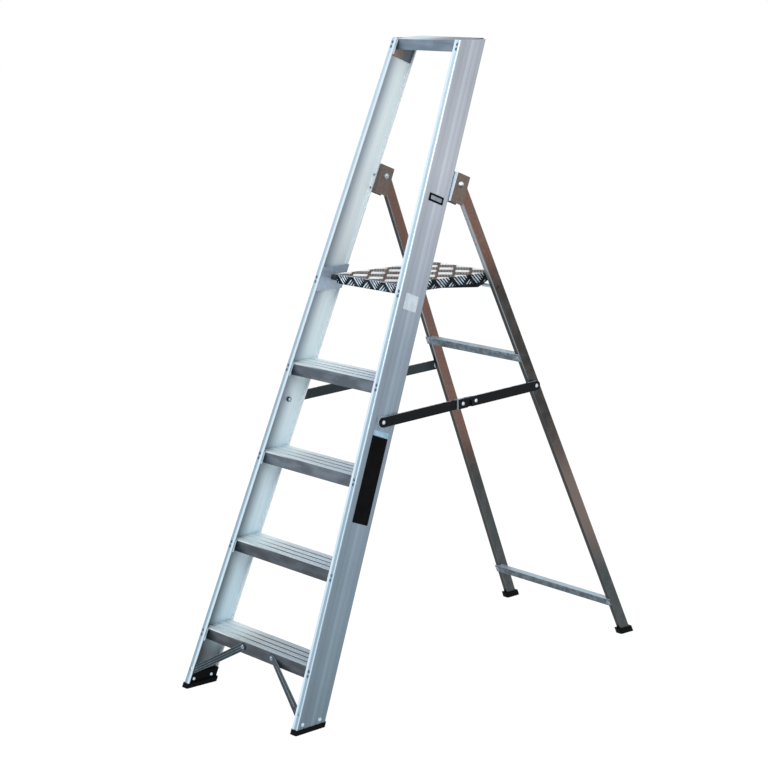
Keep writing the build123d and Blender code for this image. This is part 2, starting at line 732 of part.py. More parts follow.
with BuildPart() as leg_bush:
    with BuildSketch(Plane.YZ.offset(side_gap - inner_room)):
        Circle(bush_radius)
        Circle(pin_radius + running_gap, mode=Mode.SUBTRACT)
    extrude(amount=inner_room + outer_room - 2 * side_gap)
bush_place = Plane(origin=hinge_point, x_dir=(1, 0, 0), z_dir=(0, 0, 1))
save(on_both_sides(leg_bush.part, [bush_place]), "leg_bushes")

# Rear legs
brace_heights = [upper_brace_height, lower_brace_height]


def brace_bolt_plane(height):
    """On the right leg's brace, square to its face, pointing into the leg."""
    down = leg_level(height + leg_depth / 2 * rear_sin) + brace_face / 2
    local = Vector(0, -leg_depth / 2 - brace_sheet, -down)
    return Plane(origin=leg_plane.from_local_coords(local), x_dir=leg_out, z_dir=leg_rear)


brace_bolt_planes = [brace_bolt_plane(height) for height in brace_heights]
with BuildPart() as rear_leg:
    with BuildSketch(leg_plane.offset(leg_head)):
        RectangleRounded(leg_width, leg_depth, leg_corner)
        RectangleRounded(
            leg_width - 2 * leg_wall, leg_depth - 2 * leg_wall, leg_corner - leg_wall, mode=Mode.SUBTRACT
        )
    extrude(amount=-(leg_level(-leg_depth) + leg_head))
    split(bisect_by=Plane.XY.offset(leg_lift), keep=Keep.TOP)
    drill([Plane(origin=hinge_point, z_dir=(1, 0, 0))], bush_radius + hole_gap / 2, 2 * leg_width)
    drill([Plane(origin=rest_pin, z_dir=(1, 0, 0))], rest_pin_radius + hole_gap / 2, 2 * leg_width)
    drill(brace_bolt_planes, brace_bolt_radius + hole_gap, leg_depth / 2)
    with Locations(Plane(origin=stay_rear, z_dir=(1, 0, 0))):
        Cylinder(
            stay_bolt_radius + hole_gap,
            leg_width,
            align=(Align.CENTER, Align.CENTER, Align.MIN),
            mode=Mode.SUBTRACT,
        )
save_pair(rear_leg, "rear_leg_{}")

# Rear feet: rubber boots on the leg ends
with BuildPart() as leg_end:
    with BuildSketch(leg_plane):
        RectangleRounded(leg_width, leg_depth, leg_corner)
    extrude(amount=-leg_level(-leg_depth))
    split(bisect_by=Plane.XY.offset(leg_lift), keep=Keep.TOP)
with BuildPart() as rear_foot:
    with BuildSketch(leg_plane.offset(-leg_level(2 * leg_depth))):
        RectangleRounded(leg_width + 2 * foot_side, leg_depth + 2 * foot_end, foot_round)
    extrude(amount=-4 * leg_depth)
    split(bisect_by=Plane.XY.offset(foot_height), keep=Keep.BOTTOM)
    split(bisect_by=Plane.XY, keep=Keep.TOP)
    add(leg_end.part, mode=Mode.SUBTRACT)
save_pair(rear_foot, "rear_foot_{}")


def brace(height):
    """Angle across the legs' front faces: a face along them, a flange turned back between them."""
    half = leg_point(height).X + leg_width / 2
    between = leg_point(height + brace_return).X - leg_width / 2 / leg_out.X - seat_gap
    top = Vector(0, leg_point(height).Y - leg_depth / 2 / rear_cos, height)
    down = Vector(0, rear_sin, -rear_cos)
    rear = Vector(0, rear_cos, rear_sin)
    front = top - rear * brace_sheet
    end = top + rear * brace_return
    face = [top, top + down * brace_face, front + down * brace_face, front]
    turned = [front, end, end + down * brace_sheet, front + down * brace_sheet]
    with BuildPart() as body:
        for corners, reach in ((face, half), (turned, between)):
            with BuildSketch(Plane.YZ):
                with BuildLine():
                    Polyline(*[(p.Y, p.Z) for p in corners], close=True)
                make_face()
            extrude(amount=reach, both=True)
        bolt_planes = [brace_bolt_plane(height)]
        drill(bolt_planes + mirrored(bolt_planes), brace_bolt_radius + hole_gap, leg_depth / 2)
    return body


save(brace(upper_brace_height), "upper_brace")
save(brace(lower_brace_height), "lower_brace")
brace_grip = brace_sheet + leg_wall + brace_bolt_tail
brace_bolt = rivet(brace_bolt_radius, brace_grip, brace_bolt_head, brace_bolt_crown)
save(on_both_sides(brace_bolt, brace_bolt_planes), "brace_bolts")

# Pins on the legs that the platform's rear rests on
pin_end = deck_half - deck_sheet - rest_pin_under
pin_length = rest_pin.X + leg_width / 2 - leg_wall - pin_end
with BuildPart() as rest_stub:
    with BuildSketch(Plane(origin=(pin_end, rest_pin.Y, rest_pin.Z), z_dir=(1, 0, 0))):
        Circle(rest_pin_radius)
    extrude(amount=pin_length)
    chamfer(edges().group_by(Axis.X)[0], rest_pin_radius / 5)
with BuildPart() as platform_rest_pins:
    add(rest_stub.part)
    mirror(rest_stub.part, about=Plane.YZ)
save(platform_rest_pins, "platform_rest_pins")

# Stays: each link turns on its own end, the knuckle between them is left open
front_link_plane = Plane(origin=(front_layer, knuckle.Y, knuckle.Z), x_dir=link_dir, z_dir=(1, 0, 0))
rear_link_plane = Plane(origin=(rear_layer, knuckle.Y, knuckle.Z), x_dir=link_dir, z_dir=(1, 0, 0))
with BuildPart() as stay_front_link:
    with BuildSketch(front_link_plane):
        with Locations((-link_length, 0)):
            Rectangle(link_length + knuckle_stop, stay_width, align=(Align.MIN, Align.CENTER))
            Circle(stay_width / 2)
            Circle(stay_bolt_radius + running_gap, mode=Mode.SUBTRACT)
        Circle(knuckle_rivet + hole_gap, mode=Mode.SUBTRACT)
    extrude(amount=stay_bar)
save_pair(stay_front_link, "stay_front_link_{}")

with BuildPart() as stay_rear_link:
    with BuildSketch(rear_link_plane):
        with Locations((link_length, 0)):
            Rectangle(link_length + knuckle_end, stay_width, align=(Align.MAX, Align.CENTER))
            Circle(stay_width / 2)
            Circle(stay_bolt_radius + running_gap, mode=Mode.SUBTRACT)
        with Locations((notch_back, notch_height - (stay_width + notch_width) / 2)):
            Rectangle(notch_width, stay_width, align=(Align.CENTER, Align.MAX), mode=Mode.SUBTRACT)
            Circle(notch_width / 2, mode=Mode.SUBTRACT)
        with Locations((0, 0), (knuckle_second, 0)):
            Circle(knuckle_rivet + hole_gap, mode=Mode.SUBTRACT)
    extrude(amount=stay_bar)
save_pair(stay_rear_link, "stay_rear_link_{}")

knuckle_outer = rivet(knuckle_rivet, stay_bar, knuckle_head, knuckle_crown)
with BuildPart() as stay_rivets:
    for run in (0, knuckle_second):
        spot = rear_link_plane.from_local_coords(Vector(run, 0, stay_bar))
        with Locations(Plane(origin=spot, x_dir=link_dir, z_dir=(-1, 0, 0))):
            add(knuckle_outer)
save_pair(stay_rivets, "stay_rivets_{}")
with BuildPart() as stay_tail:
    with Locations(Plane(origin=front_link_plane.origin, x_dir=link_dir, z_dir=(1, 0, 0))):
        add(knuckle_outer)
save_pair(stay_tail, "stay_tails_{}")

# Stay pivots on the stiles: spacer on the web, bolt from outside, nut in the channel
with BuildPart() as front_spacer:
    with BuildSketch(Plane(origin=(front_layer - side_gap, stay_front.Y, stay_front.Z), z_dir=(1, 0, 0))):
        Circle(stay_front_washer)
        Circle(stay_bolt_radius + hole_gap / 2, mode=Mode.SUBTRACT)
    extrude(amount=stay_front.X - stile_wall - front_layer)
    split(bisect_by=Plane(origin=stay_front, z_dir=out), keep=Keep.TOP)
with BuildPart() as stay_front_spacers:
    add(front_spacer.part)
    mirror(front_spacer.part, about=Plane.YZ)
save(stay_front_spacers, "stay_front_spacers")

web_nut_seat = inset_x(stile_wall, stay_front.Y, stay_front.Z) - stay_nut_radius * taper
bolt_face = front_layer + stay_bar + side_gap
front_bolt_plane = Plane(origin=(bolt_face, stay_front.Y, stay_front.Z), x_dir=(0, 1, 0), z_dir=(-1, 0, 0))
front_bolt_grip = bolt_face - web_nut_seat + stay_nut_height
stay_front_bolt = rivet(stay_bolt_radius, front_bolt_grip, stay_bolt_head, stay_bolt_crown)
save(on_both_sides(stay_front_bolt, [front_bolt_plane]), "stay_front_bolts")
stay_nut = nut(stay_bolt_radius + hole_gap / 2, stay_nut_radius, stay_nut_height)
save(on_both_sides(stay_nut, [front_bolt_plane.offset(bolt_face - web_nut_seat)]), "stay_front_nuts")

# Stay pivots on the legs
leg_side = Plane(origin=stay_rear + leg_out * (leg_width / 2), z_dir=leg_out)
with BuildPart() as rear_spacer:
    with BuildSketch(Plane(origin=(rear_layer - side_gap, stay_rear.Y, stay_rear.Z), z_dir=(1, 0, 0))):
        Circle(stay_rear_washer)
        Circle(stay_bolt_radius + hole_gap / 2, mode=Mode.SUBTRACT)
    extrude(amount=stay_rear.X - rear_layer)
    split(bisect_by=leg_side, keep=Keep.TOP)
with BuildPart() as stay_rear_spacers:
    add(rear_spacer.part)
    mirror(rear_spacer.part, about=Plane.YZ)
save(stay_rear_spacers, "stay_rear_spacers")

rear_bolt_face = rear_layer + stay_bar + side_gap
rear_bolt_plane = Plane(origin=(rear_bolt_face, stay_rear.Y, stay_rear.Z), x_dir=(0, 1, 0), z_dir=(-1, 0, 0))
stay_rear_bolt = rivet(stay_bolt_radius, rear_bolt_face - stay_rear.X, stay_bolt_head, stay_bolt_crown)
save(on_both_sides(stay_rear_bolt, [rear_bolt_plane]), "stay_rear_bolts")
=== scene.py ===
# %% [markdown]
# A platform step ladder, dressed from its solid parts.
# The solids come in already placed, in metres, with the climber at minus Y.
# Blender adds what rolling, drawing, plating and use leave on the metal, and the small pieces
# that are too thin for the solids: the raised bars of the chequer plate, films and rivet centres.

# %% Load the solid parts
import json
import math
import bpy
from mathutils import Matrix, Vector


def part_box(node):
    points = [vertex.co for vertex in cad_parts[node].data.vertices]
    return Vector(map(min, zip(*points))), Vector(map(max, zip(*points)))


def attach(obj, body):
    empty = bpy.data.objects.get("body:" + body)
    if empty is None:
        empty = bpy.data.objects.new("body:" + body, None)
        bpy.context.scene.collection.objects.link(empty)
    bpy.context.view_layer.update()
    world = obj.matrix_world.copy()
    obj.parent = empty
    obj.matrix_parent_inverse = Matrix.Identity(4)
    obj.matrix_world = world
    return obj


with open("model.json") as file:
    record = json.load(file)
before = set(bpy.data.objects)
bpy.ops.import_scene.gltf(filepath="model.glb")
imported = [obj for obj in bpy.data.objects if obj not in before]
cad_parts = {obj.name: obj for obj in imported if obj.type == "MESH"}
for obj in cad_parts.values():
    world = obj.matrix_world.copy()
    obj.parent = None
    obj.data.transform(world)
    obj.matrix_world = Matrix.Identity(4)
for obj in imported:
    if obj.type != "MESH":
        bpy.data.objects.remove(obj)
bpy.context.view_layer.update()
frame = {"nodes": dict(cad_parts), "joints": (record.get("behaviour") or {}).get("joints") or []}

# %% [markdown]
# The stiles lean back and draw together, so most of this ladder is easiest to describe on a stile:
# how far up it, how deep behind its front face, and how far in from its outer face.
# A matrix for the right stile turns those three numbers into a place in the room.

# %% Stile directions
lean = math.radians(21)
foot_half = 0.250
taper = (0.500 - 0.278) / 2 / 1.770
stile_depth = 0.092
stile_flange = 0.022
shoe_sole = 0.013
front_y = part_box("right_stile")[0].y - shoe_sole * math.tan(lean)
rise = Vector((-taper * math.cos(lean), math.sin(lean), math.cos(lean)))
back = Vector((0, math.cos(lean), -math.sin(lean)))
out = back.cross(rise.normalized())
stile_matrix = Matrix((
    (back.x, rise.x, out.x, foot_half),
    (back.y, rise.y, out.y, front_y),
    (back.z, rise.z, out.z, 0),
    (0, 0, 0, 1),
))


def along_at(height, deep):
    """Distance up the stile where this depth lies at this height."""
    return (height + deep * math.sin(lean)) / math.cos(lean)


def on_stile(along, deep, inset, side):
    """Point on the right or left stile."""
    spot = stile_matrix @ Vector((deep, along, -inset))
    return Vector((side * spot.x, spot.y, spot.z))


def joint_place(name):
    """Place of a joint, from the frame."""
    return Vector(next(j for j in frame["joints"] if j["name"] == name)["pos_m"])


print("stile front at the floor", round(front_y, 4))

# %% [markdown]
# Every colour below is typed as everyday 0 to 255 numbers, the way a colour picker shows them.
# Shader sockets want linear light, so one small helper converts them.
# The next helpers only shorten the wiring of nodes: feed a socket, do a sum, mix two colours.

# %% Short names for wiring nodes
def paint(red, green, blue):
    """Everyday colour as the linear colour that a socket takes."""
    levels = [level / 255 for level in (red, green, blue)]
    return (*[v / 12.92 if v < 0.04 else ((v + 0.055) / 1.055) ** 2.4 for v in levels], 1.0)


def feed(tree, socket, value):
    """Link an output into a socket, or set the socket to a plain value."""
    if isinstance(value, bpy.types.NodeSocket):
        tree.links.new(value, socket)
    else:
        socket.default_value = value


def calc(tree, how, *values):
    """One Math node."""
    node = tree.nodes.new("ShaderNodeMath")
    node.operation = how
    for socket, value in zip(node.inputs, values):
        feed(tree, socket, value)
    return node.outputs[0]


def times(tree, first, second):
    """Product of two values."""
    return calc(tree, "MULTIPLY", first, second)


def span(tree, value, low, high):
    """Smooth step of a value from 0 at low to 1 at high; low may be the larger one."""
    node = tree.nodes.new("ShaderNodeMapRange")
    node.interpolation_type = "SMOOTHSTEP"
    feed(tree, node.inputs["Value"], value)
    node.inputs["From Min"].default_value = low
    node.inputs["From Max"].default_value = high
    return node.outputs["Result"]


def mix(tree, mask, first, second, how="MIX"):
    """First colour where the mask is 0, second where it is 1."""
    node = tree.nodes.new("ShaderNodeMix")
    node.data_type = "RGBA"
    node.blend_type = how
    feed(tree, node.inputs[0], mask)
    feed(tree, node.inputs[6], first)
    feed(tree, node.inputs[7], second)
    return node.outputs[2]


def tint(tree, colour, by):
    """Colour multiplied by another one."""
    return mix(tree, 1.0, colour, by, "MULTIPLY")


def ramp(tree, value, *stops):
    """Colour Ramp through (place, colour) stops."""
    node = tree.nodes.new("ShaderNodeValToRGB")
    points = node.color_ramp.elements
    while len(points) < len(stops):
        points.new(0.5)
    for point, (place, colour) in zip(points, stops):
        point.position = place
        point.color = colour
    feed(tree, node.inputs[0], value)
    return node.outputs[0]


def grey(level):
    """Plain multiplier as a colour."""
    return (level, level, level, 1.0)


def project(tree, place, direction, start):
    """How far a place lies along a direction, measured from a start point."""
    node = tree.nodes.new("ShaderNodeVectorMath")
    node.operation = "DOT_PRODUCT"
    feed(tree, node.inputs[0], place)
    node.inputs[1].default_value = direction
    return calc(tree, "SUBTRACT", node.outputs["Value"], Vector(direction).dot(Vector(start)))


def gather(tree, across, deep, along):
    """Three values as one vector."""
    node = tree.nodes.new("ShaderNodeCombineXYZ")
    for socket, value in zip(node.inputs, (across, deep, along)):
        feed(tree, socket, value)
    return node.outputs[0]


def split(tree, place):
    """X, Y and Z of a place."""
    node = tree.nodes.new("ShaderNodeSeparateXYZ")
    tree.links.new(place, node.inputs[0])
    return node.outputs


def mirrored(tree, place):
    """Place brought over to the ladder's right half."""
    sides = split(tree, place)
    return gather(tree, calc(tree, "ABSOLUTE", sides["X"]), sides["Y"], sides["Z"])


def noise(tree, place, scale, detail=2.0):
    """Noise texture, about 0.3 to 0.7."""
    node = tree.nodes.new("ShaderNodeTexNoise")
    feed(tree, node.inputs["Vector"], place)
    node.inputs["Scale"].default_value = scale
    node.inputs["Detail"].default_value = detail
    return node.outputs["Fac"]


def bump(tree, shader, height, distance, strength=1.0):
    """Bump node from a height to the shader's Normal."""
    node = tree.nodes.new("ShaderNodeBump")
    node.inputs["Strength"].default_value = strength
    node.inputs["Distance"].default_value = distance
    feed(tree, node.inputs["Height"], height)
    tree.links.new(node.outputs[0], shader.inputs["Normal"])
    return node


def coat(tree, shader, colour, grain, spread, start):
    """Base colour, and a roughness of start plus spread times a grain value."""
    feed(tree, shader.inputs["Base Color"], colour)
    feed(tree, shader.inputs["Roughness"], calc(tree, "MULTIPLY_ADD", grain, spread, start))


def start_finish(name, metallic, roughness, mirror=0.5):
    """New material with its shader and its Object coordinates; mirror is the specular level."""
    material = bpy.data.materials.new(name)
    material.use_nodes = True
    tree = material.node_tree
    shader = tree.nodes["Principled BSDF"]
    shader.inputs["Metallic"].default_value = metallic
    shader.inputs["Roughness"].default_value = roughness
    shader.inputs["Specular IOR Level"].default_value = mirror
    return material, tree, shader, tree.nodes.new("ShaderNodeTexCoord").outputs["Object"]


def dress(material, *names):
    """Put a finish on solid parts by the start of their names."""
    done = [n for n in frame["nodes"] if n.startswith(names)]
    for n in done:
        parts_mesh = frame["nodes"][n].data
        parts_mesh.materials.clear()
        parts_mesh.materials.append(material)
    print(material.name, "on", len(done), "parts")


print("wiring helpers ready")

# %% [markdown]
# Several finishes need the same effects, so each effect is a node group, built once.
# The first says where a point lies on a stile. The second gives the fine lines that a die draws
# along an extrusion. The third is the cloudy crystal pattern of zinc plating and rolled plate.
# The fourth is the scatter of short scuffs that ladders collect in use.

# %% Shared effects as node groups
def start_group(name, inputs, outputs):
    """Node group with named sockets; returns the tree and its two end nodes."""
    group = bpy.data.node_groups.new(name, "ShaderNodeTree")
    for socket, kind in inputs:
        group.interface.new_socket(socket, in_out="INPUT", socket_type=kind)
    for socket in outputs:
        group.interface.new_socket(socket, in_out="OUTPUT", socket_type="NodeSocketFloat")
    return group, group.nodes.new("NodeGroupInput"), group.nodes.new("NodeGroupOutput")


def use_group(tree, group, **values):
    """Place a group in a material with its own values."""
    node = tree.nodes.new("ShaderNodeGroup")
    node.node_tree = group
    for socket, value in values.items():
        feed(tree, node.inputs[socket], value)
    return node.outputs


stile_place, given, made = start_group(
    "stile_place", [("Place", "NodeSocketVector")], ["Along", "Deep", "Inset"]
)
right_hand = mirrored(stile_place, given.outputs["Place"])
stile_start = (0, front_y, 0)
outer_corner = (foot_half, front_y, 0)
upwards = (0, math.sin(lean), math.cos(lean))
for socket, place, direction, start in (
    ("Along", given.outputs["Place"], upwards, stile_start),
    ("Deep", given.outputs["Place"], back, stile_start),
    ("Inset", right_hand, -out, outer_corner),
):
    feed(stile_place, made.inputs[socket], project(stile_place, place, direction, start))

die_lines, given, made = start_group(
    "die_lines",
    [(socket, "NodeSocketFloat") for socket in ("Length", "Width", "Depth")],
    ["Lines", "Fine"],
)
slow_length = times(die_lines, given.outputs["Length"], 0.012)
across_length = gather(die_lines, given.outputs["Width"], given.outputs["Depth"], slow_length)
feed(die_lines, made.inputs["Lines"], noise(die_lines, across_length, 260, 3))
feed(die_lines, made.inputs["Fine"], noise(die_lines, across_length, 1400, 2))

spangle, given, made = start_group(
    "spangle", [("Place", "NodeSocketVector"), ("Grain", "NodeSocketFloat")], ["Cloud", "Crystal"]
)
cloud = spangle.nodes.new("ShaderNodeTexNoise")
cloud.inputs["Detail"].default_value = 5
crystal = spangle.nodes.new("ShaderNodeTexVoronoi")
for node in (cloud, crystal):
    feed(spangle, node.inputs["Vector"], given.outputs["Place"])
    feed(spangle, node.inputs["Scale"], given.outputs["Grain"])
feed(spangle, made.inputs["Cloud"], cloud.outputs["Fac"])
crystal_sides = spangle.nodes.new("ShaderNodeSeparateColor")
spangle.links.new(crystal.outputs["Color"], crystal_sides.inputs[0])
feed(spangle, made.inputs["Crystal"], crystal_sides.outputs[0])

scuffs, given, made = start_group("scuffs", [("Place", "NodeSocketVector")], ["Marks", "Dust"])
tilted = scuffs.nodes.new("ShaderNodeMapping")
tilted.inputs["Rotation"].default_value = (0.3, 0.5, 0.9)
tilted.inputs["Scale"].default_value = (1.0, 14.0, 14.0)
scuffs.links.new(given.outputs["Place"], tilted.inputs["Vector"])
feed(scuffs, made.inputs["Marks"], span(scuffs, noise(scuffs, tilted.outputs[0], 16, 4), 0.66, 0.76))
feed(scuffs, made.inputs["Dust"], span(scuffs, noise(scuffs, given.outputs["Place"], 9, 4), 0.42, 0.68))
print("groups", [g.name for g in bpy.data.node_groups])

# %% [markdown]
# The camera stands right of the ladder, a little above the platform, far off with a long lens.
# The room is a plain pale floor under soft light.
# The world is white to the camera and to reflections, and gentler as a lamp, so metal mirrors a
# white studio and the parts still get shade. The floor glows a little for the same rays.

# %% Camera, floor and light
camera = bpy.data.objects.new("camera", bpy.data.cameras.new("camera"))
bpy.context.scene.collection.objects.link(camera)
camera.location = (4.1637, front_y - 3.1586, 1.9609)
look_down = 11.533
look_left = 48.48
camera.rotation_euler = (math.radians(90 - look_down), 0, math.radians(look_left))
camera.data.lens = 95.72
camera.data.sensor_width = 36
bpy.context.scene.camera = camera
bpy.context.scene.view_settings.view_transform = "Standard"


def seen_plainly(tree):
    """1 for camera, mirror and glass rays, 0 for the rays that light the parts."""
    path = tree.nodes.new("ShaderNodeLightPath").outputs
    seen = calc(tree, "MAXIMUM", path["Is Camera Ray"], path["Is Glossy Ray"])
    return calc(tree, "MAXIMUM", seen, path["Is Transmission Ray"])


world = bpy.data.worlds.new("studio")
bpy.context.scene.world = world
world.use_nodes = True
sky = world.node_tree.nodes["Background"]
sky.inputs["Color"].default_value = grey(1.0)
lamp_level = 0.55
tree = world.node_tree
shown_more = times(tree, seen_plainly(tree), 1 - lamp_level)
feed(tree, sky.inputs["Strength"], calc(tree, "ADD", shown_more, lamp_level))

bpy.ops.object.select_all(action="DESELECT")
bpy.ops.mesh.primitive_plane_add(size=60)
floor = bpy.context.object
floor.name = "floor"
floor_paint = bpy.data.materials.new("floor_paint")
floor_paint.use_nodes = True
tree = floor_paint.node_tree
matt = tree.nodes["Principled BSDF"]
matt.inputs["Base Color"].default_value = grey(0.92)
matt.inputs["Roughness"].default_value = 0.9
glow_strength = 1.14
glow_share = 0.80
glow = tree.nodes.new("ShaderNodeEmission")
glow.inputs["Color"].default_value = grey(1.0)
glow.inputs["Strength"].default_value = glow_strength
both = tree.nodes.new("ShaderNodeMixShader")
feed(tree, both.inputs[0], times(tree, seen_plainly(tree), glow_share))
tree.links.new(matt.outputs[0], both.inputs[1])
tree.links.new(glow.outputs[0], both.inputs[2])
tree.links.new(both.outputs[0], tree.nodes["Material Output"].inputs["Surface"])
floor.data.materials.append(floor_paint)


def soft_box(name, place, aim, size, power):
    """Square area lamp at a place, turned to an aim point."""
    lamp = bpy.data.objects.new(name, bpy.data.lights.new(name, "AREA"))
    bpy.context.scene.collection.objects.link(lamp)
    lamp.location = place
    lamp.rotation_euler = (Vector(aim) - Vector(place)).to_track_quat("-Z", "Y").to_euler()
    lamp.data.size = size
    lamp.data.energy = power


soft_box("front_lamp", (0.1, -4.3, 4.2), (0, 0, 1.0), 2.4, 138)
soft_box("side_lamp", (4.6, -1.6, 3.0), (0, 0, 0.9), 2.0, 62)
print("camera", camera.location, "lamps 2")

# %% [markdown]
# The stiles are satin extrusions. A die leaves fine lines along the length. Broad bands of painted
# shade and light run along the web too, and each flute gets a painted shade line on its front side and
# a painted highlight on its rear side. The web is painted lighter towards the top and the front flange
# brighter than the web, where it faces the lamp. The channel's inside has painted light that grows
# towards the top and the rear, with painted shadow below the lowest tread.
# One colour would flatten all that, so the finish looks up where it is on the stile and mixes
# a colour for each face of the profile. The flutes are shallow, so their shading is softened by
# turning the normal part of the way back to that of the flat web.

# %% Stile finish
finish, tree, shader, place = start_finish("stile_alloy", 0.5, 0.38)
where = use_group(tree, stile_place, Place=place)
along, deep, inset = where["Along"], where["Deep"], where["Inset"]
lines = use_group(tree, die_lines, Length=along, Width=deep, Depth=inset)
stile_length = 1.85
# Painted light: the web's colour grows lighter higher up the stile.
web = ramp(
    tree, calc(tree, "DIVIDE", along, stile_length),
    (0.0, paint(110, 129, 142)), (0.17, paint(123, 142, 157)), (0.57, paint(143, 158, 173)),
    (0.72, paint(172, 181, 194)), (0.84, paint(188, 195, 206)), (0.97, paint(178, 185, 196)),
)
# Painted shade and light: broad bands across the web's depth stand in for the shading of its flutes.
web_painted_shade_bands = ramp(
    tree, calc(tree, "DIVIDE", deep, stile_depth),
    (0.0, grey(0.96)), (0.12, grey(0.90)), (0.36, grey(0.92)), (0.48, grey(1.12)),
    (0.60, grey(1.05)), (0.74, grey(0.99)), (0.88, grey(0.94)), (0.96, grey(0.88)),
)
web = tint(tree, web, web_painted_shade_bands)
flute_pitch = 0.0188
first_flute = 0.0230
from_half = calc(tree, "SUBTRACT", deep, first_flute - flute_pitch / 2)
flute_share = calc(tree, "FRACT", calc(tree, "DIVIDE", from_half, flute_pitch))
# Painted shade on the front side of each flute and a painted highlight on its rear side.
flute_shade_and_highlight = ramp(
    tree, flute_share,
    (0.22, grey(1.0)), (0.29, grey(0.86)), (0.42, grey(0.98)), (0.62, grey(1.0)), (0.71, grey(1.07)),
    (0.79, grey(1.0)),
)
web = mix(tree, span(tree, deep, 0.012, 0.0145), web, tint(tree, web, flute_shade_and_highlight))
# Painted light: the front flange faces the lamp and is painted brighter than the web, more so towards
# the top.
flange = ramp(
    tree, calc(tree, "DIVIDE", inset, stile_flange),
    (0.0, paint(174, 199, 213)), (0.20, paint(186, 209, 223)), (0.24, paint(140, 164, 181)),
    (0.60, paint(150, 174, 191)), (0.65, paint(200, 220, 233)), (1.0, paint(210, 229, 239)),
)
flange = mix(tree, span(tree, along, 0.5, 1.9), flange, mix(tree, 0.5, flange, paint(214, 230, 241)))
front_face = span(tree, deep, 0.0018, 0.0008)
# Painted light and shade: the channel's inside is darker at the front and lighter towards the rear and
# the top.
inside_painted_shade = mix(tree, span(tree, along, -0.15, 1.75), paint(72, 90, 101), paint(152, 166, 180))
inside_painted_light = mix(tree, span(tree, along, 0.1, 1.6), paint(203, 228, 240), paint(238, 251, 255))
inside = mix(tree, span(tree, deep, 0.012, 0.062), inside_painted_shade, inside_painted_light)
foot_shade = mix(tree, span(tree, along, 0.10, 0.18), grey(0.24), grey(1.0))
inside = tint(tree, inside, foot_shade)
# Painted light: the rear flange's inner face is painted nearly white.
rear_face_painted_light = (0.0880, 0.0892)
inside = mix(tree, span(tree, deep, *rear_face_painted_light), inside, paint(238, 245, 249))
past_wall = (0.0020, 0.0028)
inner_face = times(tree, span(tree, inset, *past_wall), span(tree, deep, *past_wall))
colour = mix(tree, inner_face, mix(tree, front_face, web, flange), inside)
streak = ramp(tree, lines["Lines"], (0.3, grey(0.94)), (0.7, grey(1.04)))
colour = tint(tree, colour, streak)
marks = use_group(tree, scuffs, Place=place)
colour = mix(tree, times(tree, marks["Marks"], 0.25), colour, paint(145, 160, 174))
feed(tree, shader.inputs["Base Color"], colour)
dulled = calc(tree, "MULTIPLY_ADD", marks["Dust"], 0.12, 0.32)
dulled = calc(tree, "MULTIPLY_ADD", inner_face, 0.10, dulled)
feed(tree, shader.inputs["Metallic"], calc(tree, "MULTIPLY_ADD", inner_face, -0.38, 0.5))
feed(tree, shader.inputs["Roughness"], calc(tree, "MULTIPLY_ADD", lines["Fine"], 0.12, dulled))
fine_lines = bump(tree, shader, lines["Fine"], 0.0002, 0.3)
turned_normal = tree.nodes.new("ShaderNodeNewGeometry").outputs["Normal"]
side_sign = calc(tree, "SIGN", split(tree, place)["X"])
flat_normal = gather(tree, times(tree, side_sign, out.x), out.y, out.z)
flute_softness = 0.45
soft_normal = tree.nodes.new("ShaderNodeMix")
soft_normal.data_type = "VECTOR"
outer_web = times(tree, span(tree, inset, 0.0022, 0.0016), span(tree, deep, 0.003, 0.006))
feed(tree, soft_normal.inputs[0], times(tree, outer_web, flute_softness))
feed(tree, soft_normal.inputs[4], turned_normal)
feed(tree, soft_normal.inputs[5], flat_normal)
feed(tree, fine_lines.inputs["Normal"], soft_normal.outputs[1])
dress(finish, "right_stile", "left_stile")

# %% [markdown]
# A tread's top is serrated so that shoes grip and painted bright, with painted light strongest at its
# left end. Its front lip is painted dark, like slate, as a painted reflection of the dim floor. The
# lower a tread, the darker it is painted, as painted shade. Height tells top and lip apart: the treads
# are one rise apart, so a remainder after dividing by that rise says how far below its own top any
# point lies. A little room above each top keeps points on it from counting as part of the next tread.

# %% Tread finish
tread_lift = 0.002
first_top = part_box("tread_1")[1].z - tread_lift
tread_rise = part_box("tread_2")[1].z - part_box("tread_1")[1].z


def slate(tree, place, dark, light):
    """Painted reflection of a dim floor on mill-finish aluminium: soft long clouds and small spots."""
    long_place = tree.nodes.new("ShaderNodeMapping")
    long_place.inputs["Scale"].default_value = (0.35, 1.0, 1.0)
    tree.links.new(place, long_place.inputs["Vector"])
    clouds = noise(tree, long_place.outputs[0], 38, 5)
    spots = span(tree, noise(tree, place, 210, 2), 0.66, 0.74)
    body = mix(tree, span(tree, clouds, 0.36, 0.66), dark, light)
    return mix(tree, times(tree, spots, 0.5), body, paint(135, 152, 167))


finish, tree, shader, place = start_finish("tread_alloy", 0.55, 0.40)
sides = split(tree, place)
where = use_group(tree, stile_place, Place=place)
tread_run = 0.088
top_room = 0.0015
tilt = times(tree, where["Deep"], tread_lift / tread_run)
level_z = calc(tree, "SUBTRACT", sides["Z"], tilt)
level = calc(tree, "SUBTRACT", level_z, first_top + top_room - tread_rise)
above_last = calc(tree, "FLOORED_MODULO", level, tread_rise)
below = calc(tree, "SUBTRACT", tread_rise - top_room, above_last)
lines = use_group(tree, die_lines, Length=sides["X"], Width=sides["Y"], Depth=sides["Z"])
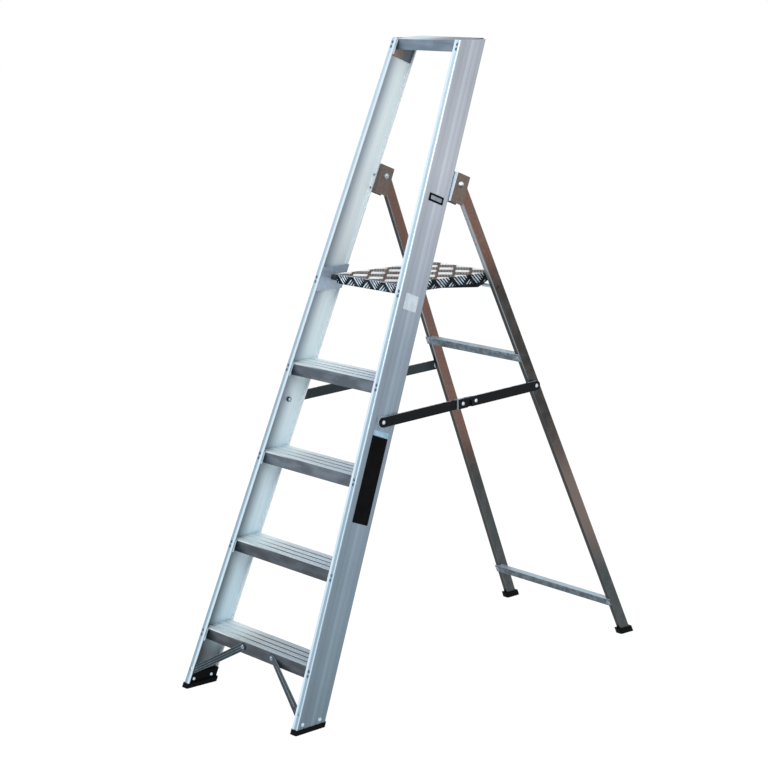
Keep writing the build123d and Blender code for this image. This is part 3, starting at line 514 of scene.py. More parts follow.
# Painted light: the tread top is brightest at its left end and greyer towards the right.
wear_and_sheen = mix(tree, span(tree, sides["X"], -0.20, 0.20), paint(242, 253, 255), paint(198, 218, 233))
tooth_across = 0.0042
tooth_along = 0.0048
cross_cut = calc(tree, "SINE", times(tree, sides["X"], 2 * math.pi / tooth_across))
long_cut = calc(tree, "SINE", times(tree, sides["Y"], 2 * math.pi / tooth_along))
teeth = times(tree, cross_cut, long_cut)
wear_and_sheen = mix(tree, span(tree, teeth, -0.1, -0.9), wear_and_sheen, paint(189, 209, 225))
wear_and_sheen = tint(tree, wear_and_sheen, ramp(tree, lines["Lines"], (0.3, grey(0.82)), (0.7, grey(1.12))))
# Painted shade: the lower the tread, the darker its top and its lip.
tread_height_shade = ramp(
    tree, sides["Z"],
    (0.16, grey(0.66)), (0.40, grey(0.88)), (0.64, grey(0.90)), (0.88, grey(1.12)),
)
wear_and_sheen = tint(tree, wear_and_sheen, tread_height_shade)
# Painted reflection: the front lip is dark, as a face mirroring the dim floor.
lip = slate(tree, place, paint(75, 84, 94), paint(102, 113, 125))
lip_height_shade = ramp(tree, sides["Z"], (0.15, grey(0.54)), (0.40, grey(0.60)), (0.63, grey(1.06)))
lip = tint(tree, lip, lip_height_shade)
lip_mask = span(tree, below, 0.0004, 0.0009)
colour = mix(tree, lip_mask, wear_and_sheen, lip)
sheen = times(tree, span(tree, sides["X"], -0.03, -0.18), span(tree, below, 0.0040, 0.0030))
colour = mix(tree, times(tree, sheen, 0.75), colour, paint(238, 251, 255))
coat(tree, shader, colour, lip_mask, -0.06, 0.42)
teeth_height = times(tree, teeth, calc(tree, "SUBTRACT", 1.0, lip_mask))
bump(tree, shader, teeth_height, 0.0004, 0.6)
dress(finish, "tread_1", "tread_2", "tread_3", "tread_4")

# %% [markdown]
# The hand rail is the same profile without teeth. Its front is a bluer slate, a painted reflection of
# the dim floor, and its top carries a painted highlight that runs from bright at one end to dim at the
# other, as a long satin face does under one lamp.

# %% Rail finish
rail_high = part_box("top_rail")[1]
finish, tree, shader, place = start_finish("rail_alloy", 0.55, 0.36)
sides = split(tree, place)
front = slate(tree, place, paint(106, 122, 138), paint(124, 141, 158))
# Painted highlight along the top, bright at the left end and dim at the right.
top_band = mix(tree, span(tree, sides["X"], -0.09, 0.06), paint(199, 216, 227), paint(64, 82, 96))
rail_plate = span(tree, sides["Z"], rail_high.z - 0.0072, rail_high.z - 0.0062)
colour = mix(tree, rail_plate, front, top_band)
lines = use_group(tree, die_lines, Length=sides["X"], Width=sides["Y"], Depth=sides["Z"])
drawn = ramp(tree, lines["Lines"], (0.3, grey(0.92)), (0.7, grey(1.06)))
colour = tint(tree, colour, drawn)
coat(tree, shader, colour, lines["Lines"], 0.16, 0.28)
bump(tree, shader, lines["Fine"], 0.0002, 0.4)
dress(finish, "top_rail")

# %% [markdown]
# The brackets inside the channels are bent sheet. Their tabs lie behind the front flange and carry the
# same painted highlight; the gussets deeper in are a dull, slightly brown grey, with painted light and
# shade that changes with depth.
# The plates that carry the platform are cloudier, like sheet that has been handled.

# %% Bracket finishes
def bracket_finish(name, tab, gusset_near, gusset_far):
    """Sheet bracket: tab painted bright at the front as a highlight, gusset painted lighter or darker
    with depth.
    """
    material, tree, shader, place = start_finish(name, 0.5, 0.42)
    deep = use_group(tree, stile_place, Place=place)["Deep"]
    clouds = use_group(tree, spangle, Place=place, Grain=95.0)
    # Painted light and shade: the gusset's colour changes with its depth in the channel.
    gusset = mix(tree, span(tree, deep, 0.03, 0.07), gusset_near, gusset_far)
    colour = mix(tree, span(tree, deep, 0.0060, 0.0066), tab, gusset)
    clouding = ramp(tree, clouds["Cloud"], (0.3, grey(0.84)), (0.7, grey(1.12)))
    coat(tree, shader, tint(tree, colour, clouding), clouds["Cloud"], 0.3, 0.26)
    bump(tree, shader, clouds["Cloud"], 0.0003, 0.35)
    return material


bright_tab = paint(214, 235, 246)
plate_grey = paint(170, 188, 207)
for name, tab, near, far, parts in (
    ("tread_bracket_sheet", bright_tab, paint(97, 122, 139), paint(184, 208, 223), ("tread_bracket",)),
    ("rail_bracket_sheet", bright_tab, paint(137, 118, 108), paint(89, 100, 110), ("rail_bracket",)),
    (
        "platform_bracket_sheet", plate_grey, plate_grey, paint(172, 189, 206),
        ("platform_bracket_left", "platform_bracket_right"),
    ),
):
    dress(bracket_finish(name, tab, near, far), *parts)

# %% [markdown]
# The platform is rolled chequer plate, folded into a tray. Between the bars the plate is dark: a brown
# painted reflection of the room on top, and nearly black painted shade on the folded lip and sides. A
# thin painted highlight runs along the front fold.
# The bars themselves are separate raised pieces, made further down; this is only the ground.

# %% Chequer ground
deck_low, deck_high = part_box("platform_deck")
finish, tree, shader, place = start_finish("chequer_ground", 0.0, 0.5, 0.08)
sides = split(tree, place)
clouds = use_group(tree, spangle, Place=place, Grain=60.0)
# Painted reflection on top and painted shade on the lip and sides.
top_ground = mix(tree, span(tree, clouds["Cloud"], 0.35, 0.65), paint(48, 39, 36), paint(104, 78, 67))
side_ground = mix(tree, span(tree, clouds["Cloud"], 0.40, 0.72), paint(14, 18, 22), paint(44, 52, 59))
on_top = span(tree, sides["Z"], deck_high.z - 0.0016, deck_high.z - 0.0004)
colour = mix(tree, on_top, side_ground, top_ground)
# Painted highlight along the front fold of the deck's top.
rim = span(tree, sides["Y"], deck_low.y + 0.0045, deck_low.y + 0.0015)
colour = mix(tree, times(tree, rim, on_top), colour, paint(189, 206, 221))
coat(tree, shader, colour, clouds["Cloud"], 0.25, 0.40)
bump(tree, shader, clouds["Cloud"], 0.0004, 0.4)
dress(finish, "platform_deck")

# %% [markdown]
# The rear legs and hinge brackets are zinc-passivated steel, mottled brown-grey. Along a leg the
# colour cools from warm brown at the hinge to grey-green at the foot. Its front face carries a painted
# reflection, pale on the right leg's upper part and dark elsewhere, with a thin painted highlight where
# the tube's corner turns, which fades further down.
# Distances across the leg come from the hinge and the leg's lean.

# %% Leg finish
rear_lean = math.radians(24.1)
hinge = joint_place("rear_fold")
leg_back = (0, math.cos(rear_lean), math.sin(rear_lean))


def zinc_brown(tree, place, warm, middle, cool):
    """Mottled passivated zinc: warm near the hinge, dark further down, cool near the floor.
    On the left leg the warm part reaches well below the stay as painted light: that leg faces away."""
    clouds = use_group(tree, spangle, Place=place, Grain=120.0)
    sides = split(tree, place)
    left_leg_light_shift = times(tree, span(tree, sides["X"], 0.01, -0.01), 0.62)
    warm_height = calc(tree, "ADD", sides["Z"], left_leg_light_shift)
    base = mix(tree, span(tree, sides["Z"], 0.20, 0.60), cool, middle)
    base = mix(tree, span(tree, warm_height, 1.06, 1.24), base, warm)
    patchy = mix(tree, span(tree, noise(tree, place, 26, 4), 0.42, 0.62), base, paint(93, 90, 88))
    base = mix(tree, 0.28, base, patchy)
    mottle = ramp(tree, clouds["Cloud"], (0.3, grey(0.82)), (0.7, grey(1.18)))
    return tint(tree, base, mottle), clouds["Cloud"]


leg_front = -0.0125
finish, tree, shader, place = start_finish("leg_zinc", 0.5, 0.36)
leg_tones = (paint(120, 88, 76), paint(46, 44, 43), paint(58, 68, 70))
body, cloud_value = zinc_brown(tree, place, *leg_tones)
across_leg = project(tree, place, leg_back, hinge)
sides = split(tree, place)
rosy = times(tree, span(tree, sides["Z"], 0.18, 0.38), span(tree, sides["Z"], 0.70, 0.48))
rosy = times(tree, rosy, span(tree, sides["X"], -0.01, 0.01))
body = mix(tree, times(tree, rosy, 0.85), body, paint(120, 106, 99))
# Painted reflection on the front face: pale on the right leg's upper part, dark below and on the left
# leg.
strip = mix(tree, span(tree, sides["Z"], 1.10, 1.17), paint(35, 39, 43), paint(184, 194, 204))
on_left = span(tree, sides["X"], 0.01, -0.01)
strip = mix(tree, on_left, strip, paint(33, 35, 38))
colour = mix(tree, span(tree, across_leg, leg_front + 0.0014, leg_front + 0.0004), body, strip)
# Painted highlight: a thin bright line where the tube's corner turns.
edge = times(
    tree, span(tree, across_leg, leg_front + 0.0002, leg_front + 0.0008),
    span(tree, across_leg, leg_front + 0.0034, leg_front + 0.0026),
)
edge_share = calc(tree, "MULTIPLY_ADD", on_left, 0.35, 0.55)
upper_part = calc(tree, "MULTIPLY_ADD", span(tree, sides["Z"], 0.70, 0.95), 0.85, 0.15)
edge_share = times(tree, edge_share, upper_part)
colour = mix(tree, times(tree, edge, edge_share), colour, paint(160, 172, 180))
coat(tree, shader, colour, cloud_value, 0.3, 0.24)
bump(tree, shader, cloud_value, 0.0003, 0.35)
dress(finish, "rear_leg")

# %% [markdown]
# The hinge brackets share that zinc. The strip of bracket that lies flat on the stile faces the lamp
# and shines almost white, while the ears stand sideways to it and stay brown.

# %% Hinge bracket finish
finish, tree, shader, place = start_finish("hinge_zinc", 0.55, 0.36)
warm_zinc = paint(113, 100, 93)
body, cloud_value = zinc_brown(tree, place, warm_zinc, warm_zinc, warm_zinc)
where = use_group(tree, stile_place, Place=place)
deep = where["Deep"]
# Painted shade where the ears bend away from the strip on the stile.
bend_shade = span(tree, deep, stile_depth + 0.0066, stile_depth + 0.0044)
colour = mix(tree, times(tree, bend_shade, 0.25), body, paint(68, 66, 65))
overhang = span(tree, where["Inset"], 0.0006, -0.0004)
on_stile_back = span(tree, deep, stile_depth + 0.0035, stile_depth + 0.0029)
flat_strip = times(tree, on_stile_back, overhang)
colour = mix(tree, flat_strip, colour, paint(220, 234, 243))
coat(tree, shader, colour, cloud_value, 0.3, 0.22)
bump(tree, shader, cloud_value, 0.0003, 0.35)
dress(finish, "hinge_bracket_right", "hinge_bracket_left")

# %% [markdown]
# The braces are galvanised angles with a cloudy spangle. The flange turned back between the legs is
# painted paler than the face as a highlight, and the lower brace is painted darker as painted shade.
# The pressed straps under the lowest tread are the same steel, much darker, with a painted highlight
# along the pressed rib and along the edges.

# %% Brace and strap finishes
leg_rise = (0, -math.sin(rear_lean), math.cos(rear_lean))
turned_end = leg_front + 0.010


def brace_finish(name, top, painted_shade_level):
    """Galvanised angle: cloudy face, flange on top with a paler painted highlight; top is its height up
    the leg.
    """
    material, tree, shader, place = start_finish(name, 0.5, 0.38)
    clouds = use_group(tree, spangle, Place=place, Grain=62.0)
    up_leg = project(tree, place, leg_rise, hinge)
    face = mix(tree, span(tree, clouds["Cloud"], 0.36, 0.64), paint(68, 82, 92), paint(108, 126, 139))
    face = mix(tree, times(tree, clouds["Crystal"], 0.10), face, paint(145, 162, 174))
    # Painted shade: the face is darkened by the level given for each brace.
    face = tint(tree, face, grey(painted_shade_level))
    # Painted highlight: the turned-back flange on top is paler.
    turned = mix(tree, clouds["Cloud"], paint(155, 174, 188), paint(189, 208, 221))
    colour = mix(tree, span(tree, up_leg, top - 0.0007, top - 0.0002), face, turned)
    coat(tree, shader, colour, clouds["Crystal"], 0.2, 0.28)
    bump(tree, shader, clouds["Cloud"], 0.0003, 0.4)
    return material


for brace, painted_shade_level in (("upper_brace", 1.0), ("lower_brace", 0.72)):
    turned_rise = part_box(brace)[1].z - hinge.z - turned_end * math.sin(rear_lean)
    dress(brace_finish(brace + "_zinc", turned_rise / math.cos(rear_lean), painted_shade_level), brace)

finish, tree, shader, place = start_finish("strap_steel", 0.2, 0.45, 0.2)
clouds = use_group(tree, spangle, Place=place, Grain=130.0)
colour = mix(tree, span(tree, clouds["Cloud"], 0.36, 0.66), paint(25, 32, 37), paint(46, 57, 64))
colour = mix(tree, times(tree, clouds["Crystal"], 0.12), colour, paint(89, 107, 120))
strap_rivet_height = 0.052
strap_head = Vector((0.063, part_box("tread_1")[0].y + 0.006, first_top - 0.016))
strap_foot = on_stile(along_at(strap_rivet_height, 0), 0.004, 0.019, 1)
strap_width = (strap_foot - strap_head).normalized().cross(Vector((0, -1, 0))).normalized()
across = calc(tree, "ABSOLUTE", project(tree, mirrored(tree, place), strap_width, strap_head))
# Painted highlight along the pressed rib and the strap's edges.
rib_line = times(tree, span(tree, across, 0.0018, 0.0026), span(tree, across, 0.0046, 0.0038))
edge_line = span(tree, across, 0.0086, 0.0096)
rib_and_edge_highlights = times(tree, calc(tree, "MAXIMUM", rib_line, edge_line), 0.55)
colour = mix(tree, rib_and_edge_highlights, colour, paint(124, 144, 157))
coat(tree, shader, colour, clouds["Cloud"], 0.3, 0.30)
bump(tree, shader, clouds["Cloud"], 0.0004, 0.4)
dress(finish, "tread_brace_right", "tread_brace_left")

# %% [markdown]
# The stays are flat bars in black paint, with a painted highlight, broken into patches, along their
# long edges. At rest both halves lie on one line, so the distance from that line finds the edges.
# The pair on the left shows its inner faces, which are painted greyer as painted light.

# %% Stay finish
stay_start = joint_place("stay_front_right_turn")
stay_end = joint_place("stay_rear_right_turn")
stay_run = (stay_end - stay_start).normalized()
stay_up = Vector((0, -stay_run.z, stay_run.y))
square_end = -0.0193


def stay_finish(name, end_highlight_share):
    """Black paint on a bar; the second value sets the painted highlight on its square end by the
    knuckle.
    """
    material, tree, shader, place = start_finish(name, 0.0, 0.42, 0.10)
    off_line = calc(tree, "ABSOLUTE", project(tree, place, stay_up, stay_start))
    past_knuckle = project(tree, place, stay_run, (stay_start + stay_end) / 2)
    grain = noise(tree, place, 320, 3)
    sides = split(tree, place)
    colour = mix(tree, span(tree, grain, 0.35, 0.65), paint(7, 9, 11), paint(17, 20, 23))
    # Painted light: the left pair's inner faces are greyer.
    colour = mix(tree, span(tree, sides["X"], 0.01, -0.01), colour, paint(54, 63, 68))
    patches = span(tree, noise(tree, place, 48, 3), 0.36, 0.52)
    # Painted highlight along the long edges, broken into patches.
    edge_highlight = times(tree, span(tree, off_line, 0.0136, 0.0140), patches)
    # Painted highlight on the rear link's square end by the knuckle.
    end_highlight = times(tree, span(tree, past_knuckle, square_end + 0.002, square_end), end_highlight_share)
    colour = mix(tree, calc(tree, "MAXIMUM", edge_highlight, end_highlight), colour, paint(145, 158, 167))
    marks = use_group(tree, scuffs, Place=place)
    colour = mix(tree, times(tree, marks["Marks"], 0.5), colour, paint(93, 102, 110))
    coat(tree, shader, colour, grain, 0.3, 0.25)
    bump(tree, shader, grain, 0.0002, 0.4)
    return material


dress(stay_finish("stay_paint_front", 0.0), "stay_front_link")
dress(stay_finish("stay_paint_rear", 1.0), "stay_rear_link")

# %% [markdown]
# Rubber and plastic are simple but not flat: moulded rubber is slightly pebbled and dusty where it
# meets the floor, and plastic spacers carry a faint moulding grain.

# %% Rubber and plastic finishes
def moulded(name, base, dusty, grain_scale, roughness, mirror):
    """Moulded piece: fine pebble, a little dust near the floor."""
    material, tree, shader, place = start_finish(name, 0.0, roughness, mirror)
    pebble = noise(tree, place, grain_scale, 3)
    sides = split(tree, place)
    dust = use_group(tree, scuffs, Place=place)["Dust"]
    near_floor = times(tree, dust, span(tree, sides["Z"], 0.016, 0.002))
    colour = mix(tree, times(tree, pebble, 0.35), base, dusty)
    colour = mix(tree, times(tree, near_floor, 0.5), colour, dusty)
    coat(tree, shader, colour, pebble, 0.3, roughness - 0.15)
    bump(tree, shader, pebble, 0.0003, 0.5)
    return material


rubber = moulded("shoe_rubber", paint(4, 4, 5), paint(21, 24, 28), 480, 0.66, 0.06)
dress(rubber, "front_shoe", "rear_foot")
bush_plastic = moulded("bush_plastic", paint(29, 34, 39), paint(56, 64, 71), 300, 0.5, 0.3)
dress(bush_plastic, "platform_bushes", "leg_bushes")
spacer_plastic = moulded("spacer_plastic", paint(176, 188, 196), paint(199, 210, 216), 260, 0.5, 0.4)
dress(spacer_plastic, "stay_front_spacers", "stay_rear_spacers")

# %% [markdown]
# Fasteners come in three kinds. Most bolts, nuts and the shoe rivets are bright zinc. Those of the
# straps, braces and hinge brackets are duller. The blind rivets in the front flanges sit in a lane
# and look dark, because their domes mirror the dim side of the room.

# %% Fastener finishes
def fastener_finish(name, low, high, roughness):
    """Plated steel with a faint turned grain."""
    material, tree, shader, place = start_finish(name, 0.7, roughness)
    clouds = use_group(tree, spangle, Place=place, Grain=420.0)
    colour = mix(tree, span(tree, clouds["Cloud"], 0.35, 0.65), low, high)
    coat(tree, shader, colour, clouds["Crystal"], 0.16, roughness - 0.08)
    bump(tree, shader, clouds["Cloud"], 0.0001, 0.4)
    return material


bright_zinc = fastener_finish("bright_zinc", paint(162, 178, 190), paint(213, 228, 239), 0.24)
dark_rivet = fastener_finish("dark_rivet", paint(56, 74, 92), paint(95, 116, 135), 0.34)
dull_zinc = fastener_finish("dull_zinc", paint(93, 106, 116), paint(162, 178, 190), 0.34)
dress(bright_zinc, "hinge_nuts", "platform_pivot", "stay_front_bolts", "shoe_rivets")
dress(bright_zinc, "stay_rear_bolts", "stay_rivets", "stay_tails")
dress(dull_zinc, "tread_brace_fasteners", "hinge_bracket_rivets", "brace_bolts")
dress(dark_rivet, "tread_rivets", "rail_rivets", "platform_bracket_rivets")

# %% [markdown]
# The platform's rest pins are bright where they stand free, between the platform and a leg. Their outer
# ends lie inside the leg, so there they take the leg's own colours and its side looks plain.

# %% Rest pin finish
finish, tree, shader, place = start_finish("rest_pin_zinc", 0.5, 0.36)
tube_colour, cloud_value = zinc_brown(tree, place, *leg_tones)
pin_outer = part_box("platform_rest_pins")[1].x
from_middle = calc(tree, "ABSOLUTE", split(tree, place)["X"])
in_tube = span(tree, from_middle, pin_outer - 0.008, pin_outer - 0.004)
coat(tree, shader, mix(tree, in_tube, paint(188, 203, 214), tube_colour), cloud_value, 0.3, 0.20)
bump(tree, shader, cloud_value, 0.0001, 0.4)
dress(finish, "platform_rest_pins")

# %% [markdown]
# The hinge pins have tall domed heads. A dome mirrors the white ceiling above and the dim room below,
# so its finish turns from dark to bright across the pin's own middle.
# The nuts inside the channels are dark, with a bright round middle where the bolt's end is.

# %% Pin and nut finishes
finish, tree, shader, place = start_finish("pin_zinc", 0.7, 0.26)
sides = split(tree, place)
above = calc(tree, "SUBTRACT", sides["Z"], hinge.z)
clouds = use_group(tree, spangle, Place=place, Grain=420.0)
above = calc(tree, "MULTIPLY_ADD", clouds["Cloud"], 0.002, calc(tree, "SUBTRACT", above, 0.001))
pin_colour = mix(tree, span(tree, above, -0.006, 0.003), paint(50, 50, 51), paint(224, 236, 245))
feed(tree, shader.inputs["Base Color"], pin_colour)
bump(tree, shader, clouds["Cloud"], 0.0001, 0.4)
dress(finish, "hinge_pins")

finish, tree, shader, place = start_finish("nut_zinc", 0.6, 0.30)
off_up = project(tree, place, (0, 0, 1), stay_start)
off_back = project(tree, place, (0, 1, 0), stay_start)
from_bolt = calc(
    tree, "SQRT", calc(tree, "MULTIPLY_ADD", off_up, off_up, times(tree, off_back, off_back))
)
ring_colour = mix(tree, span(tree, from_bolt, 0.0034, 0.0042), paint(218, 232, 241), paint(56, 68, 76))
feed(tree, shader.inputs["Base Color"], ring_colour)
clouds = use_group(tree, spangle, Place=place, Grain=420.0)
bump(tree, shader, clouds["Cloud"], 0.0001, 0.4)
dress(finish, "stay_front_nuts")

# %% [markdown]
# The bars of chequer plate are rolled into the flat sheet, five side by side, each group turned a
# quarter from the next, and the sheet is folded afterwards. The pieces here go the same way: one bar is
# shaped from a disc, copied in groups over the flat sheet, cut at the folds and edges, and folded.
# Modelling them, instead of faking them with bump, gives each bar its own highlight and edge.

# %% One chequer bar
def only(piece):
    """Make one piece the selected and active object."""
    bpy.ops.object.select_all(action="DESELECT")
    piece.select_set(True)
    bpy.context.view_layer.objects.active = piece


def pick_top(piece):
    """Go to edit mode with the faces selected that point up."""
    bpy.ops.object.mode_set(mode="EDIT")
    bpy.ops.mesh.select_mode(type="FACE")
    bpy.ops.mesh.select_all(action="DESELECT")
    bpy.ops.object.mode_set(mode="OBJECT")
    for face in piece.data.polygons:
        face.select = face.normal.z > 0.9
    bpy.ops.object.mode_set(mode="EDIT")


bar_long = 0.040
bar_wide = 0.0040
bar_high = 0.0013
bar_side = 0.0009
bar_sunk = 0.0002
bpy.ops.object.select_all(action="DESELECT")
bpy.ops.mesh.primitive_cylinder_add(vertices=12, radius=0.5, depth=bar_side)
bar = bpy.context.object
bpy.ops.object.mode_set(mode="EDIT")
bpy.ops.transform.resize(value=(bar_long, bar_wide, 1))
pick_top(bar)
bpy.ops.mesh.inset(thickness=0.0009, depth=bar_high - bar_side + bar_sunk)
bpy.ops.object.mode_set(mode="OBJECT")
bar.data.transform(Matrix.Translation((0, 0, bar_side / 2 - bar_sunk)))
print("one bar", len(bar.data.polygons), "faces")

# %% [markdown]
# Now the sheet. Its flat measures are the distance from the middle and the distance from the front
# fold. Four areas are laid out: the deck, the front lip and the two sides. Bars that cross the rim of
# an area are cut off there, as shears would, and the lip also along its slanted ends. Then each area
# but the deck is turned down round its own fold.

# %% Bars over the folded sheet
deck_half = deck_high.x
deck_depth = deck_high.y - deck_low.y
first_group = -0.097
group_step = 0.066
bar_pitch = 0.0078


def copy_to(piece, matrix):
    """Copy of a piece with its own mesh, placed by a matrix."""
    twin = piece.copy()
    twin.data = piece.data.copy()
    twin.data.transform(matrix)
    bpy.context.scene.collection.objects.link(twin)
    return twin


def join(name, pieces):
    """Join pieces into one named object."""
    only(pieces[0])
    for piece in pieces:
        piece.select_set(True)
    bpy.ops.object.join()
    pieces[0].name = name
    return pieces[0]


def cut(piece, place, outwards):
    """Cut a piece on a plane, drop what lies outside and close the cut."""
    only(piece)
    bpy.ops.object.mode_set(mode="EDIT")
    bpy.ops.mesh.select_all(action="SELECT")
    bpy.ops.mesh.bisect(plane_co=place, plane_no=outwards, use_fill=True, clear_outer=True)
    bpy.ops.object.mode_set(mode="OBJECT")


def bar_places():
    """Matrix of every bar over a sheet larger than the deck, and whether it turns right."""
    for row in range(-2, 8):
        for column in range(-3, 5):
            for shift, turn in ((0.0, -45), (0.5, 45)):
                across = first_group + (column + shift) * group_step
                behind = (row + shift) * group_step
                turned = Matrix.Rotation(math.radians(turn), 4, "Z")
                group = Matrix.Translation((across, behind, 0)) @ turned
                for bar_number in range(-2, 3):
                    yield group @ Matrix.Translation((0, bar_number * bar_pitch, 0)), turn < 0


def lay_bars(name, low_x, high_x, low_y, high_y):
    """Bars over one flat area, cut at its rim."""
    reach = bar_long / 2
    chosen = []
    for matrix, turns_right in bar_places():
        middle = matrix.translation
        if low_x - reach < middle.x < high_x + reach and low_y - reach < middle.y < high_y + reach:
            twin = copy_to(bar, matrix)
            shade = twin.data.attributes.new("turns_right", "FLOAT", "POINT")
            for value in shade.data:
                value.value = float(turns_right)
            chosen.append(twin)
    area = join(name, chosen)
    cut(area, (low_x, 0, 0), (-1, 0, 0))
    cut(area, (high_x, 0, 0), (1, 0, 0))
    cut(area, (0, low_y, 0), (0, -1, 0))
    cut(area, (0, high_y, 0), (0, 1, 0))
    return area


fold_fill = 0.0011
rear_margin = 0.003
flange_down = 0.0250
bush_clear = 0.0225
side_end = 0.326
deck_edge = deck_half + fold_fill
side_edge = deck_half + flange_down
deck_bars = lay_bars("deck_bars", -deck_edge, deck_edge, -fold_fill, deck_depth - rear_margin)
lip_bars = lay_bars("lip_bars", -deck_half, deck_half, -flange_down, 0)
right_bars = lay_bars("right_bars", deck_half, side_edge, bush_clear, side_end)
left_bars = lay_bars("left_bars", -side_edge, -deck_half, bush_clear, side_end)
lip_half = deck_half - 0.001
for side in (-1, 1):
    cut(lip_bars, (side * lip_half, 0, 0), (side * 0.026, -0.011, 0))
deck_bars.data.transform(Matrix.Translation((0, deck_low.y, deck_high.z)))
lip_bars.data.transform(Matrix((
    (1, 0, 0, 0), (0, 0, -1, deck_low.y), (0, 1, 0, deck_high.z), (0, 0, 0, 1)
)))
right_bars.data.transform(Matrix((
    (0, 0, 1, deck_half), (0, 1, 0, deck_low.y), (-1, 0, 0, deck_high.z + deck_half), (0, 0, 0, 1)
)))
left_bars.data.transform(Matrix((
    (0, 0, -1, -deck_half), (0, 1, 0, deck_low.y), (1, 0, 0, deck_high.z + deck_half), (0, 0, 0, 1)
)))
chequer_bars = join("chequer_bars", [deck_bars, lip_bars, right_bars, left_bars])
bpy.data.objects.remove(bar)
only(chequer_bars)
bpy.ops.object.shade_smooth_by_angle(angle=math.radians(40))
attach(chequer_bars, "platform")
print("chequer bars", len(chequer_bars.data.polygons), "faces")

# %% [markdown]
# Feet polish the bars, and their colour is painted reflection. On the deck, bars of one direction carry
# a painted reflection of the lamp and look silver, and those of the other a painted reflection of the
# dim room and look brown. Down the lip and sides all are painted a duller, bluer silver, as painted
# shade.

# %% Bar finish
finish, tree, shader, place = start_finish("bar_silver", 0.1, 0.36, 0.15)
sides = split(tree, place)
wear_and_sheen = noise(tree, place, 70, 4)
# Painted reflection: silver for bars that turn one way, brown for the other.
bright = mix(tree, span(tree, wear_and_sheen, 0.35, 0.6), paint(230, 242, 253), paint(246, 255, 255))
dim = mix(tree, span(tree, wear_and_sheen, 0.38, 0.62), paint(70, 56, 51), paint(120, 98, 90))
turned = tree.nodes.new("ShaderNodeAttribute")
turned.attribute_name = "turns_right"
bright = mix(tree, turned.outputs["Fac"], bright, dim)
# Painted shade: bars down the lip and sides are duller and bluer.
folded = mix(tree, span(tree, wear_and_sheen, 0.35, 0.6), paint(145, 164, 182), paint(214, 232, 245))
on_top = span(tree, sides["Z"], deck_high.z - 0.0010, deck_high.z - 0.0001)
colour = mix(tree, on_top, folded, bright)
coat(tree, shader, colour, wear_and_sheen, 0.3, 0.16)
bump(tree, shader, noise(tree, place, 900, 2), 0.0001, 0.4)
chequer_bars.data.materials.append(finish)
print("bars dressed")

# %% [markdown]
# A blank film panel, a narrow strip, a sticker and a small plate lie on the right stile's web.
# They are thin and plain, with rounded corners. Each starts as a plane whose corners are bevelled,
# is given its thickness, and is then laid on the stile with the stile's matrix.

# %% Blank films on the stile
film_thick = 0.0004


def film(name, low_along, high_along, low_deep, high_deep, corner, lift):
    """Thin rounded rectangle on the outer face of the right stile."""
    bpy.ops.object.select_all(action="DESELECT")
    bpy.ops.mesh.primitive_plane_add(size=1)
    piece = bpy.context.object
    piece.name = name
    bpy.ops.object.mode_set(mode="EDIT")
    bpy.ops.transform.resize(value=(high_deep - low_deep, high_along - low_along, 1))
    bpy.ops.mesh.select_all(action="SELECT")
    bpy.ops.mesh.bevel(affect="VERTICES", offset=corner, segments=4)
    bpy.ops.mesh.extrude_region_move(TRANSFORM_OT_translate={"value": (0, 0, film_thick)})
    bpy.ops.mesh.select_all(action="SELECT")
    bpy.ops.mesh.normals_make_consistent(inside=False)
    bpy.ops.object.mode_set(mode="OBJECT")
    middle = ((low_deep + high_deep) / 2, (low_along + high_along) / 2, lift)
    piece.data.transform(stile_matrix @ Matrix.Translation(middle))
    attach(piece, "front_frame")
    return piece


def film_finish(name, base, second, metallic, roughness, mirror, scratched=0.2):
    """Thin film: faint drift of colour and small scratches."""
    material, tree, shader, place = start_finish(name, metallic, roughness, mirror)
    marks = use_group(tree, scuffs, Place=place)
    colour = mix(tree, span(tree, noise(tree, place, 60, 4), 0.38, 0.64), base, second)
    colour = mix(tree, times(tree, marks["Marks"], scratched), colour, paint(116, 126, 135))
    coat(tree, shader, colour, marks["Dust"], 0.15, roughness)
    bump(tree, shader, noise(tree, place, 500, 2), 0.0001, 0.3)
    return material


black_film = film_finish("film_black", paint(2, 2, 4), paint(7, 8, 11), 0.0, 0.45, 0.05, 0.02)
white_film = film_finish("film_white", paint(197, 213, 225), paint(213, 226, 236), 0.0, 0.45, 0.3)
blue_film = film_finish("film_blue", paint(137, 176, 204), paint(162, 196, 218), 0.0, 0.42, 0.4)
plate_film = film_finish("film_plate", paint(124, 136, 149), paint(151, 163, 176), 0.4, 0.35, 0.5)
for name, area, corner, lift, finish in (
    ("panel_film", (0.574, 0.810, 0.0200, 0.0760), 0.002, 0.0, black_film),
    ("strip_film", (0.811, 0.825, 0.0200, 0.0760), 0.001, 0.0, blue_film),
    ("sticker_film", (1.156, 1.200, 0.0200, 0.0680), 0.003, 0.0, white_film),
    ("plate_rim", (1.4556, 1.4774, 0.0196, 0.0744), 0.002, 0.0, black_film),
    ("plate_face", (1.4612, 1.4718, 0.0265, 0.0675), 0.001, 0.0003, plate_film),
):
    piece = film(name, *area, corner, lift)
    piece.data.materials.append(finish)
    print(name, len(piece.data.polygons), "faces")

# %% [markdown]
# A blind rivet keeps the end of its broken mandrel in the middle of the head, inside a low ring.
# The ring is a short cylinder whose top is inset and pushed down; one is modelled and then copied to
# every rivet in the front flanges, left and right.

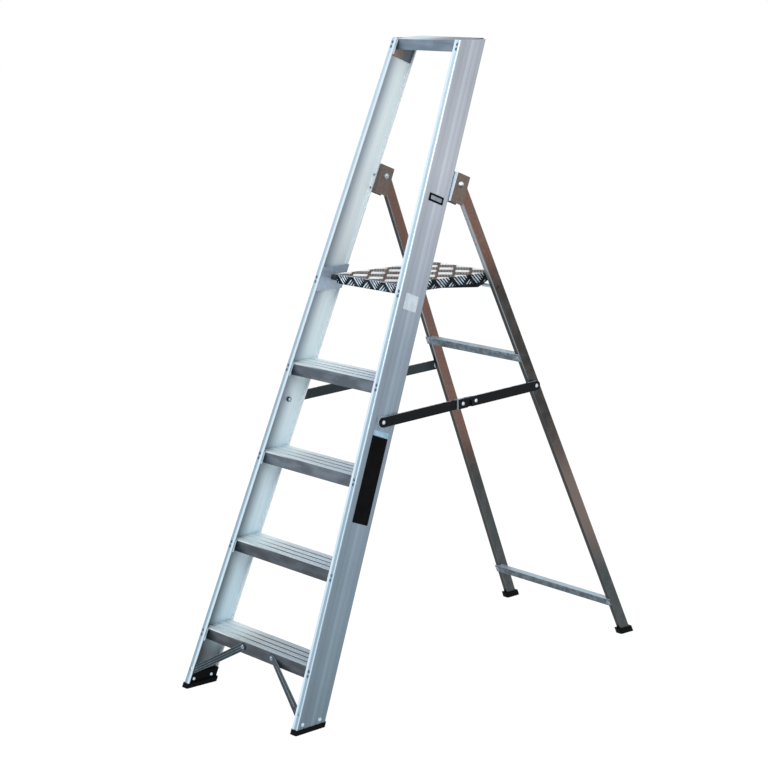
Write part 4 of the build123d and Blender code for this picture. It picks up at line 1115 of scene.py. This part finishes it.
# %% Rivet centres
def headed(vertices, radius, depth, *insets):
    """Short cylinder whose top face is inset and then moved, step by step."""
    bpy.ops.object.select_all(action="DESELECT")
    bpy.ops.mesh.primitive_cylinder_add(vertices=vertices, radius=radius, depth=depth)
    piece = bpy.context.object
    pick_top(piece)
    for thickness, move in insets:
        bpy.ops.mesh.inset(thickness=thickness, depth=move)
    bpy.ops.object.mode_set(mode="OBJECT")
    return piece


def aimed(spot, direction):
    """Matrix that puts a piece at a spot with its Z along a direction."""
    return Matrix.Translation(spot) @ direction.to_track_quat("Z", "Y").to_matrix().to_4x4()


ring = headed(14, 0.0019, 0.0008, (0.0003, 0.00015), (0.0005, 0), (0.0001, -0.0005), (0.0003, 0.0002))
rivet_step = 0.0065
rivet_inset = 0.0093
rivet_proud = 0.0011
tread_drop = 0.0135
rail_drop = 0.0155
deck_drop = 0.016
rail_top = rail_high.z - 0.006
rivet_middles = [along_at(first_top + step * tread_rise, 0) - tread_drop for step in range(4)]
rivet_middles += [along_at(rail_top, 0) - rail_drop, along_at(deck_high.z, 0) - deck_drop]
rivet_rows = [middle + shift for middle in rivet_middles for shift in (-rivet_step, rivet_step)]
rivet_rows.append(along_at(strap_rivet_height, 0))
rings = []
for side in (-1, 1):
    for along in rivet_rows:
        rings.append(copy_to(ring, aimed(on_stile(along, -rivet_proud, rivet_inset, side), -back)))
bpy.data.objects.remove(ring)
rivet_centres = join("rivet_centres", rings)
bpy.ops.object.shade_smooth_by_angle(angle=math.radians(40))
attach(rivet_centres, "front_frame")
rivet_centres.data.materials.append(dark_rivet)
print("rivet centres on", len(rivet_rows) * 2, "rivets")

# %% [markdown]
# Inside the channels the shoe rivets end in bright upset domes on the rubber. A dome is a cylinder
# with its top face inset and raised twice, so it turns over softly.

# %% Shoe rivet tails
dome = headed(18, 0.0046, 0.0016, (0.0009, 0.0007), (0.0014, 0.0005))
tail_height = 0.024
tail_inset = 0.0190
domes = []
for side in (-1, 1):
    inwards = Vector((-side * out.x, -out.y, -out.z))
    for deep in (0.015, 0.070):
        spot = on_stile(along_at(tail_height, deep), deep, tail_inset, side)
        domes.append(copy_to(dome, aimed(spot, inwards)))
bpy.data.objects.remove(dome)
shoe_tails = join("shoe_tails", domes)
bpy.ops.object.shade_smooth_by_angle(angle=math.radians(50))
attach(shoe_tails, "front_frame")
shoe_tails.data.materials.append(bright_zinc)
print("shoe tails", len(domes))
